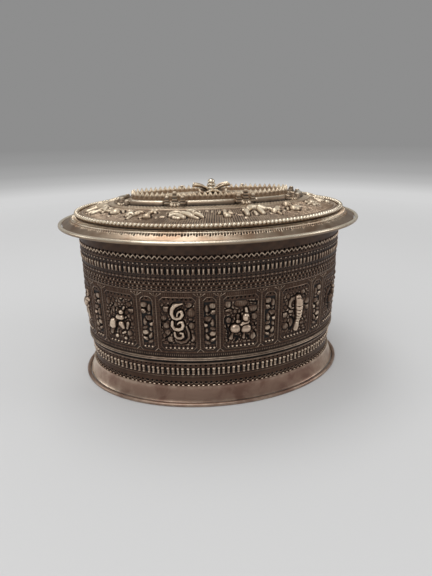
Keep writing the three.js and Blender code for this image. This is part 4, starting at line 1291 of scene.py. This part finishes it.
def roundBit(size, spot, turn=0.0, segments=12):  # a rounded lump of half sizes at a place
    deselectAll()
    bpy.ops.mesh.primitive_uv_sphere_add(segments=segments, ring_count=segments // 2 + 1, radius=mm)
    made = active("bit")
    bpy.ops.object.shade_smooth()
    setPoints(made, pointsOf(made) * size)
    made.data.transform(Matrix.Rotation(turn, 4, "Z") @ Matrix.Translation(Vector(spot) * mm))
    return made


def knotTemplate():
    form = knotForm
    parts = [roundBit(form["pad"], (0, 0, 0), segments=20)]
    setWearAndPaintedLight(parts[0], 0.3)
    for out, along, size, tiers in form["towers"]:
        for tier in range(tiers):
            width = form["towerWidth"] * size * form["tierShrink"] ** tier
            depth = form["tierHeight"] * size
            level = form["towerFoot"] + depth * form["tierStep"] * tier + depth / 2
            deselectAll()
            bpy.ops.mesh.primitive_cone_add(
                vertices=4, depth=depth * mm,
                radius1=width / 2 * form["eaves"] * mm, radius2=width / 2 * form["tierTop"] * mm,
                location=(out * mm, along * mm, level * mm), rotation=(0, 0, math.pi / 4),
            )
            block = active("tier")
            bpy.ops.object.transform_apply(location=True, rotation=True, scale=True)
            bevel = block.modifiers.new("soften", "BEVEL")
            bevel.width, bevel.segments = form["bevel"] * mm, 2
            applyAll(block)
            share = (pointsOf(block)[:, 2] - level) / depth + 0.5
            setWearAndPaintedLight(block, np.clip(1.7 * share - 0.1, 0, 0.95))
            parts.append(block)
    for turn in (45, -45):
        deselectAll()
        bpy.ops.mesh.primitive_torus_add(
            major_segments=24, minor_segments=6, major_radius=form["bandReach"] * mm,
            minor_radius=form["bandRadius"] * mm, rotation=(math.pi / 2, 0, math.radians(turn)),
        )
        hoop = active("band")
        bpy.ops.object.transform_apply(location=True, rotation=True, scale=True)
        setPoints(hoop, pointsOf(hoop) * form["bandShape"])
        setWearAndPaintedLight(hoop, 0.85)
        parts.append(hoop)
    for side in (0, math.pi):
        for turn in form["leafTurns"]:
            size = (form["leafLength"] / 2, form["leafWidth"] / 2, form["leafHeight"])
            leaf = roundBit(size, (form["leafLength"] * 0.62, 0, 0.25), side + math.radians(turn), 10)
            setWearAndPaintedLight(leaf, np.clip(0.3 + 0.75 * pointsOf(leaf)[:, 2] / form["leafHeight"], 0, 0.95))
            parts.append(leaf)
    return joinAll(parts, "knot")


def ringKnots(material):
    template = knotTemplate()
    seatHeight = float(domeHeight(ringReach))
    slope = math.atan2(float(domeHeight(ringReach - 2)) - float(domeHeight(ringReach + 2)), 4)
    for index in range(ringForm["count"]):
        spot, out = placeAt(ringReach, knotAlong(index))
        knot = copyOf(template, f"knot_{index + 1}")
        setPoints(knot, pointsOf(knot) * (1, 1, knotForm["tallness"][index]))
        place = Matrix.Translation(Vector((spot.x, spot.y, seatHeight)) * mm)
        facing = Matrix.Rotation(math.atan2(out.y, out.x), 4, "Z")
        knot.data.transform(place @ facing @ Matrix.Rotation(slope, 4, "Y"))
        pick(knot)
        bpy.ops.object.shade_smooth_by_angle(angle=math.radians(50))
        seat(knot, "cover", "worn_silver", material, f"ring_knot_{index + 1}")
    bpy.data.objects.remove(template)
    print("bars and knots")


stripForm = {
    "pitch": 2.5, "height": 4.3, "notch": 2.1, "edge": 0.3, "columnsPerPoint": 12,
    "pearlsPerPoint": 3, "pearlBand": (0.7, 1.5), "pointSwell": 0.3, "pearlSwell": 0.2,
}


def pointedStrip(material):
    form = stripForm
    girth = girthOf(stripReach)
    count = round(girth / form["pitch"])
    angles, along = evenAngles(stripReach, count * form["columnsPerPoint"])
    seatHeight = float(domeHeight(stripReach)) - 0.1
    on, _ = repeatOffsets(along, girth / count)
    pearl, _ = repeatOffsets(along, girth / count / form["pearlsPerPoint"])
    point = 1 - np.abs(on) / (girth / count / 2)
    top = form["height"] - form["notch"] * (1 - point)
    half = sheet["stripHalf"]
    waist = half * 0.95
    shares = [(half, 0), (half, 0.2), (waist, 0.42), (half, 0.5), (waist, 0.75), (form["edge"], 1)]
    spotX, spotY = stripReach * np.cos(angles), halfWidthAt(stripReach) * np.sin(angles)
    outX, outY = np.cos(angles) / stripReach, np.sin(angles) / halfWidthAt(stripReach)
    size = np.hypot(outX, outY)
    rows = []
    for across, share in shares + [(-across, share) for across, share in shares[::-1]]:
        swell = form["pointSwell"] * point * (0.45 < share < 0.95)
        swell += ridge(pearl, 0.3, form["pearlSwell"]) * (0.1 < share < 0.45)
        offset = across + math.copysign(1, across) * swell
        x, y = spotX + outX / size * offset, spotY + outY / size * offset
        rows.append(np.column_stack([x, y, seatHeight + top * share]))
    points = np.array([*rows, rows[0]])
    strip = gridPiece("pointed_strip", points)
    height = points[..., 2] - seatHeight
    pointFoot = form["height"] - form["notch"]
    inPoint = fade(height, pointFoot - 0.3, pointFoot + 0.5)
    pearls = band(height, *form["pearlBand"], 0.3) * (ridge(pearl, 0.36, 1)[None] - 0.3)
    setWearAndPaintedLight(strip, np.clip(0.46 + 0.5 * inPoint + 0.4 * pearls, 0, 0.95).ravel())
    clean(strip, 55)
    seat(strip, "cover", "worn_silver", material, "pointed_strip")
    print("pointed strip")


petalForm = {
    "count": 6, "length": 9.6, "width": 7.6, "root": 1.2, "thickness": 0.8,
    "sideLift": 3.2, "frontLift": 0.1,  # of the petals along the box and across it
    "endLift": 0.3,  # more for the two that point to the box's ends
    "edge": 1.3, "ovalShare": 0.8, "stepsAlong": 14, "stepsAcross": 12,
}


def rosette(material):
    form = petalForm
    foot = rosetteLow.z - 0.1
    shares = np.linspace(0, 1, form["stepsAlong"] + 1), np.linspace(-1, 1, form["stepsAcross"] + 1)
    u, v = np.meshgrid(*shares)
    across = form["width"] / 2 * (0.25 + 0.75 * fade(u, 0.08, 0.4)) * (1 - 0.25 * u ** 6) * v
    x = form["root"] + (form["length"] - form["root"]) * u * (1 - 0.1 * v * v)
    curl = form["edge"] * (np.abs(v) ** 3 * (0.3 + 0.7 * u) - 0.3 * np.exp(-(v / 0.2) ** 2))
    parts = []
    for i in range(form["count"]):
        turn = 2 * math.pi * i / form["count"]
        lift = form["frontLift"] + (form["sideLift"] - form["frontLift"]) * math.cos(turn) ** 2
        z = lift * (1 - np.exp(-3.5 * u)) + curl
        petal = gridPiece("petal", np.stack([
            x * math.cos(turn) - across * math.sin(turn),
            (x * math.sin(turn) + across * math.cos(turn)) * form["ovalShare"],
            z + foot + form["endLift"] * (i % 3 == 0),
        ], -1))
        setWearAndPaintedLight(petal, np.clip(0.12 + 0.85 * np.abs(v) ** 2.5 + 0.4 * u ** 4, 0, 0.95).ravel())
        solid = petal.modifiers.new("sheet", "SOLIDIFY")
        solid.thickness, solid.offset = form["thickness"] * mm, 0
        smooth = petal.modifiers.new("smooth", "SUBSURF")
        smooth.levels = smooth.render_levels = 1
        applyAll(petal)
        bpy.ops.object.shade_smooth()
        parts.append(petal)
    seat(joinAll(parts, "rosette"), "cover", "worn_silver", material, "rosette")
    print("rosette")


budForm = {
    "tiers": [  # radius and share of the height
        (1.8, 0.0), (2.3, 0.16), (2.5, 0.3), (2.4, 0.44), (1.5, 0.46), (1.5, 0.49), (2.15, 0.51),
        (2.1, 0.66), (1.3, 0.68), (1.3, 0.71), (1.85, 0.73), (1.7, 0.88), (1.0, 0.97), (0.0, 1.0),
    ],
    "rubbedRadii": [2.4, 2.1, 1.0],  # at the foot, the middle and the tip
    "steps": 40,
}


def smoothSection(points, times=2):  # rounds a section by cutting its corners
    for _ in range(times):
        finer = [points[0]]
        for a, b in zip(points, points[1:]):
            finer.append((0.75 * a[0] + 0.25 * b[0], 0.75 * a[1] + 0.25 * b[1]))
            finer.append((0.25 * a[0] + 0.75 * b[0], 0.25 * a[1] + 0.75 * b[1]))
        points = [*finer, points[-1]]
    return points


def finialBud(material):
    low, high = budLow.z - 0.2, budHigh.z
    section = smoothSection([(radius, low + (high - low) * share) for radius, share in budForm["tiers"]])
    bud = spinLine("bud", [(0, low), *section], budForm["steps"], closed=False)
    points = pointsOf(bud)
    wide = np.hypot(points[:, 0], points[:, 1])
    tier = np.interp(points[:, 2], [low, (low + high) / 2, high], budForm["rubbedRadii"])
    setWearAndPaintedLight(bud, np.clip(2.4 * (wide / tier - 0.6), 0, 0.95))
    seat(bud, "cover", "bright_silver", material, "finial_bud")
    print("bud")


# Finishes

def addNode(tree, kind, spot=(0, 0), **values):
    made = tree.nodes.new(kind)
    made.location = spot
    for key, value in values.items():
        if hasattr(made, key):
            setattr(made, key, value)
        else:
            made.inputs[key].default_value = value
    return made


def smoothStep(tree, spot, source, low, high, start=0.0):
    made = addNode(tree, "ShaderNodeMapRange", spot, interpolation_type="SMOOTHSTEP")
    for name, value in (("From Min", low), ("From Max", high), ("To Min", start)):
        made.inputs[name].default_value = value
    tree.links.new(source, made.inputs["Value"])
    return made.outputs[0]


tarnishForm = {
    "patchScale": 420, "stainScale": 85, "grainScale": 2600, "uneven": 0.2,
    "dark": (0.14, 0.5), "bright": (0.54, 1.0), "blotch": (0.42, 0.68),
    "metal": (0.05, 0.6), "leastMetal": 0.35,
}


def tarnishAndPaintedLightGroup():  # wear and painted light, noise and stains to a colour, a roughness, a metal share and a fine height
    form = tarnishForm
    tree = bpy.data.node_groups.new("silverTarnishAndPaintedLight", "ShaderNodeTree")
    sockets = [("Wear And Painted Light", "INPUT", "Float")]
    sockets += [(name, "INPUT", "Color") for name in ("Recess", "Middle", "Rubbed", "Stain")]
    amounts = ("Stain Amount", "Dull Roughness", "Rubbed Roughness", "Most Metal")
    sockets += [(name, "INPUT", "Float") for name in amounts]
    sockets.append(("Color", "OUTPUT", "Color"))
    sockets += [(name, "OUTPUT", "Float") for name in ("Roughness", "Metal", "Height")]
    for name, way, kind in sockets:
        tree.interface.new_socket(name, in_out=way, socket_type="NodeSocket" + kind)
    start = addNode(tree, "NodeGroupInput", (-1200, 0))
    end = addNode(tree, "NodeGroupOutput", (900, 0))
    place = addNode(tree, "ShaderNodeTexCoord", (-1200, -300))
    patches = addNode(tree, "ShaderNodeTexNoise", (-950, -200), Scale=form["patchScale"], Detail=3)
    stains = addNode(
        tree, "ShaderNodeTexNoise", (-950, -450), Scale=form["stainScale"], Detail=4, Distortion=0.6)
    grain = addNode(tree, "ShaderNodeTexNoise", (-950, -700), Scale=form["grainScale"], Detail=2)
    for noise in (patches, stains, grain):
        tree.links.new(place.outputs["Object"], noise.inputs["Vector"])
    shifted = addNode(tree, "ShaderNodeMath", (-850, 100), operation="SUBTRACT")
    shifted.inputs[1].default_value = form["uneven"] / 2
    tree.links.new(start.outputs["Wear And Painted Light"], shifted.inputs[0])
    uneven = addNode(tree, "ShaderNodeMath", (-700, -100), operation="MULTIPLY_ADD")
    uneven.inputs[1].default_value = form["uneven"]
    tree.links.new(patches.outputs["Fac"], uneven.inputs[0])
    tree.links.new(shifted.outputs[0], uneven.inputs[2])
    wearAndPaintedLight = uneven.outputs[0]
    lower = addNode(tree, "ShaderNodeMix", (-150, 250), data_type="RGBA")
    tree.links.new(smoothStep(tree, (-450, 250), wearAndPaintedLight, *form["dark"]), lower.inputs["Factor"])
    tree.links.new(start.outputs["Recess"], lower.inputs[6])
    tree.links.new(start.outputs["Middle"], lower.inputs[7])
    upper = addNode(tree, "ShaderNodeMix", (150, 150), data_type="RGBA")
    tree.links.new(smoothStep(tree, (-450, -50), wearAndPaintedLight, *form["bright"]), upper.inputs["Factor"])
    tree.links.new(lower.outputs[2], upper.inputs[6])
    tree.links.new(start.outputs["Rubbed"], upper.inputs[7])
    amount = addNode(tree, "ShaderNodeMath", (-150, -350), operation="MULTIPLY")
    blotch = smoothStep(tree, (-450, -400), stains.outputs["Fac"], *form["blotch"])
    tree.links.new(blotch, amount.inputs[0])
    tree.links.new(start.outputs["Stain Amount"], amount.inputs[1])
    stained = addNode(tree, "ShaderNodeMix", (400, 100), data_type="RGBA", blend_type="MULTIPLY")
    tree.links.new(amount.outputs[0], stained.inputs["Factor"])
    tree.links.new(upper.outputs[2], stained.inputs[6])
    tree.links.new(start.outputs["Stain"], stained.inputs[7])
    tree.links.new(stained.outputs[2], end.inputs["Color"])
    rough = addNode(tree, "ShaderNodeMix", (400, -150), data_type="FLOAT")
    tree.links.new(wearAndPaintedLight, rough.inputs["Factor"])
    tree.links.new(start.outputs["Dull Roughness"], rough.inputs[2])
    tree.links.new(start.outputs["Rubbed Roughness"], rough.inputs[3])
    tree.links.new(rough.outputs[0], end.inputs["Roughness"])
    metal = smoothStep(tree, (400, -350), wearAndPaintedLight, *form["metal"], form["leastMetal"])
    most = addNode(tree, "ShaderNodeMath", (650, -350), operation="MULTIPLY")
    tree.links.new(metal, most.inputs[0])
    tree.links.new(start.outputs["Most Metal"], most.inputs[1])
    tree.links.new(most.outputs[0], end.inputs["Metal"])
    tree.links.new(grain.outputs["Fac"], end.inputs["Height"])
    return tree


finishes = {
    "lidSilver": {
        "Recess": (0.02, 0.013, 0.008), "Middle": (0.35, 0.25, 0.17), "Rubbed": (0.90, 0.76, 0.57),
        "Stain": (0.6, 0.5, 0.42), "Stain Amount": 0.6, "Dull Roughness": 0.5, "Rubbed Roughness": 0.3,
        "Most Metal": 0.62,
    },
    "flangeSilver": {
        "Recess": (0.02, 0.013, 0.008), "Middle": (0.42, 0.31, 0.22), "Rubbed": (0.92, 0.80, 0.62),
        "Stain": (0.62, 0.48, 0.40), "Stain Amount": 0.7, "Dull Roughness": 0.45, "Rubbed Roughness": 0.3,
        "Most Metal": 1.0,
    },
    "footSilver": {
        "Recess": (0.016, 0.01, 0.008), "Middle": (0.31, 0.20, 0.148), "Rubbed": (0.88, 0.74, 0.58),
        "Stain": (0.55, 0.43, 0.42), "Stain Amount": 0.75,
        "Dull Roughness": 0.46, "Rubbed Roughness": 0.26, "Most Metal": 0.8,
    },
    # Its Middle is partly tarnish and partly painted shade, darkened to stand for the dim room that the
    # upright wall mirrors.
    "wallSilver": {
        "Recess": (0.005, 0.003, 0.002), "Middle": (0.098, 0.056, 0.037), "Rubbed": (0.80, 0.64, 0.49),
        "Stain": (0.6, 0.5, 0.48), "Stain Amount": 0.5, "Dull Roughness": 0.56, "Rubbed Roughness": 0.28,
        "Most Metal": 0.85,
    },
    "brightSilver": {
        "Recess": (0.016, 0.01, 0.007), "Middle": (0.31, 0.225, 0.155), "Rubbed": (0.94, 0.83, 0.66),
        "Stain": (0.7, 0.6, 0.5), "Stain Amount": 0.35, "Dull Roughness": 0.5, "Rubbed Roughness": 0.22,
        "Most Metal": 0.8,
    },
}
grainForm = {"strength": 0.12, "depth": 0.1}


def silver(name, group):
    material = bpy.data.materials.new(name)
    material.use_nodes = True
    tree = material.node_tree
    tree.nodes.clear()
    end = addNode(tree, "ShaderNodeOutputMaterial", (600, 0))
    shader = addNode(tree, "ShaderNodeBsdfPrincipled", (300, 0))
    tarnishAndPaintedLight = addNode(tree, "ShaderNodeGroup", (-100, 0), node_tree=group)
    wearAndPaintedLight = addNode(tree, "ShaderNodeAttribute", (-350, 0), attribute_name="wearAndPaintedLight")
    bump = addNode(tree, "ShaderNodeBump", (100, -300), Strength=grainForm["strength"])
    bump.inputs["Distance"].default_value = grainForm["depth"] * mm
    for key, value in finishes[name].items():
        tarnishAndPaintedLight.inputs[key].default_value = (*value, 1) if isinstance(value, tuple) else value
    tree.links.new(wearAndPaintedLight.outputs["Fac"], tarnishAndPaintedLight.inputs["Wear And Painted Light"])
    tree.links.new(tarnishAndPaintedLight.outputs["Color"], shader.inputs["Base Color"])
    tree.links.new(tarnishAndPaintedLight.outputs["Roughness"], shader.inputs["Roughness"])
    tree.links.new(tarnishAndPaintedLight.outputs["Metal"], shader.inputs["Metallic"])
    tree.links.new(tarnishAndPaintedLight.outputs["Height"], bump.inputs["Height"])
    tree.links.new(bump.outputs["Normal"], shader.inputs["Normal"])
    tree.links.new(shader.outputs[0], end.inputs["Surface"])
    return material


# Camera at the photo's place, the room and the light

cameraForm = {
    "place": (-34.1, -215.3, 124.2),
    "turn": 9.434,  # from +Y towards +X
    "down": 20.95,
    "roll": -0.745,
    "focalPixels": 430,
    "longSide": 576,
    "sensor": 36,
}


def makeCamera():
    form = cameraForm
    turn, down, roll = (math.radians(form[key]) for key in ("turn", "down", "roll"))
    forward = Vector((math.sin(turn) * math.cos(down), math.cos(turn) * math.cos(down), -math.sin(down)))
    right = Vector((math.cos(turn), -math.sin(turn), 0))
    up = right.cross(forward)
    right, up = right * math.cos(roll) + up * math.sin(roll), up * math.cos(roll) - right * math.sin(roll)
    data = bpy.data.cameras.new("camera")
    data.sensor_width = form["sensor"]
    data.lens = form["focalPixels"] * form["sensor"] / form["longSide"]
    data.clip_start, data.clip_end = 0.01, 20
    camera = bpy.data.objects.new("camera", data)
    bpy.context.collection.objects.link(camera)
    axes = Matrix((right, up, -forward)).transposed().to_4x4()
    camera.matrix_world = Matrix.Translation(Vector(form["place"]) * mm) @ axes
    bpy.context.scene.camera = camera


roomForm = {
    "floorColour": 0.62,
    "wallColour": 0.27,
    "farFrom": 0.28,  # metres from the box, between which the lit floor turns into even tones
    "farTo": 0.6,
    "farTones": [  # metres away and tone
        (0.3, 0.62), (0.5, 0.655), (0.68, 0.65), (0.85, 0.48), (1.05, 0.38), (1.5, 0.31), (2.4, 0.27),
    ],
    "fill": 0.55,
    "lamps": {
        # place, turned towards, size, power
        "overhead": ((-0.12, 0.24, 0.95), (0, 0, 0.05), (0.5, 0.35), 2.2),
        "above": ((-0.2, -0.38, 0.95), (0, 0, 0.05), (0.8, 0.6), 2.6),
        "front": ((-0.5, -0.75, 0.75), (0, 0, 0.05), (0.5, 0.5), 1.3),
        "right": ((0.8, -0.2, 0.42), (0, 0, 0.03), (0.3, 0.5), 1.1),
        "left": ((-0.85, 0.1, 0.3), (0, 0, 0.02), (0.3, 0.4), 0.7),
    },
}


def makeFloor():
    form = roomForm
    deselectAll()
    bpy.ops.mesh.primitive_circle_add(vertices=96, radius=4, fill_type="TRIFAN")
    floor = active("floor")
    material = bpy.data.materials.new("paleFloor")
    material.use_nodes = True
    tree = material.node_tree
    tree.nodes.clear()
    end = addNode(tree, "ShaderNodeOutputMaterial", (600, 0))
    near = addNode(tree, "ShaderNodeBsdfDiffuse", (0, 100), Color=(form["floorColour"],) * 3 + (1,))
    far = addNode(tree, "ShaderNodeEmission", (0, -100))
    ramp = addNode(tree, "ShaderNodeValToRGB", (-200, -200))
    metres = addNode(tree, "ShaderNodeMath", (-400, -200), operation="DIVIDE")
    metres.inputs[1].default_value = form["farTones"][-1][0]
    while len(ramp.color_ramp.elements) < len(form["farTones"]):
        ramp.color_ramp.elements.new(0.5)
    for element, (away, tone) in zip(ramp.color_ramp.elements, form["farTones"]):
        element.position = away / form["farTones"][-1][0]
        element.color = (tone, tone, tone, 1)
    place = addNode(tree, "ShaderNodeTexCoord", (-600, 0))
    length = addNode(tree, "ShaderNodeVectorMath", (-400, 0), operation="LENGTH")
    blend = addNode(tree, "ShaderNodeMapRange", (-200, 0))
    blend.inputs["From Min"].default_value = form["farFrom"]
    blend.inputs["From Max"].default_value = form["farTo"]
    mix = addNode(tree, "ShaderNodeMixShader", (300, 0))
    tree.links.new(place.outputs["Object"], length.inputs[0])
    tree.links.new(length.outputs["Value"], blend.inputs["Value"])
    tree.links.new(length.outputs["Value"], metres.inputs[0])
    tree.links.new(metres.outputs[0], ramp.inputs["Fac"])
    tree.links.new(ramp.outputs["Color"], far.inputs["Color"])
    tree.links.new(blend.outputs[0], mix.inputs["Fac"])
    tree.links.new(near.outputs[0], mix.inputs[1])
    tree.links.new(far.outputs[0], mix.inputs[2])
    tree.links.new(mix.outputs[0], end.inputs["Surface"])
    floor.data.materials.append(material)


def makeWorld():
    form = roomForm
    world = bpy.data.worlds.new("room")
    bpy.context.scene.world = world
    world.use_nodes = True
    tree = world.node_tree
    tree.nodes.clear()
    end = addNode(tree, "ShaderNodeOutputWorld", (600, 0))
    fill = addNode(tree, "ShaderNodeBackground", (0, 100), Color=(1, 1, 1, 1), Strength=form["fill"])
    seen = addNode(tree, "ShaderNodeBackground", (0, -100), Color=(form["wallColour"],) * 3 + (1,))
    path = addNode(tree, "ShaderNodeLightPath", (-600, 0))
    either = addNode(tree, "ShaderNodeMath", (-400, 0), operation="MAXIMUM")
    direct = addNode(tree, "ShaderNodeMath", (-200, 0), operation="MAXIMUM")
    tree.links.new(path.outputs["Is Camera Ray"], either.inputs[0])
    tree.links.new(path.outputs["Is Glossy Ray"], either.inputs[1])
    tree.links.new(either.outputs[0], direct.inputs[0])
    tree.links.new(path.outputs["Is Transmission Ray"], direct.inputs[1])
    mix = addNode(tree, "ShaderNodeMixShader", (300, 0))
    tree.links.new(direct.outputs[0], mix.inputs["Fac"])
    tree.links.new(fill.outputs[0], mix.inputs[1])
    tree.links.new(seen.outputs[0], mix.inputs[2])
    tree.links.new(mix.outputs[0], end.inputs["Surface"])


def makeLamps():
    for name, (spot, target, size, power) in roomForm["lamps"].items():
        data = bpy.data.lights.new(name, "AREA")
        data.shape = "RECTANGLE"
        data.size, data.size_y = size
        data.energy = power
        lamp = bpy.data.objects.new(name, data)
        bpy.context.collection.objects.link(lamp)
        lamp.location = spot
        lamp.rotation_euler = (Vector(target) - Vector(spot)).to_track_quat("-Z", "Y").to_euler()


bpy.context.scene.view_settings.view_transform = "Standard"
makeCamera()
makeFloor()
makeWorld()
makeLamps()
print("room, lamps and camera")

tarnishAndPaintedLight = tarnishAndPaintedLightGroup()
lidSilver, flangeSilver, footSilver, wallSilver, brightSilver = (
    silver(name, tarnishAndPaintedLight) for name in finishes
)

foot(footSilver)
innerWall(wallSilver)
floorPlate(wallSilver)
ledgeAndHem(wallSilver)
coverWall(wallSilver)
flange(flangeSilver, brightSilver)
domeBand(lidSilver)
domeCrown(lidSilver)
beads(brightSilver)
for barIndex in range(ringForm["count"]):
    ringBar(barIndex, brightSilver)
ringKnots(lidSilver)
pointedStrip(lidSilver)
rosette(lidSilver)
finialBud(brightSilver)
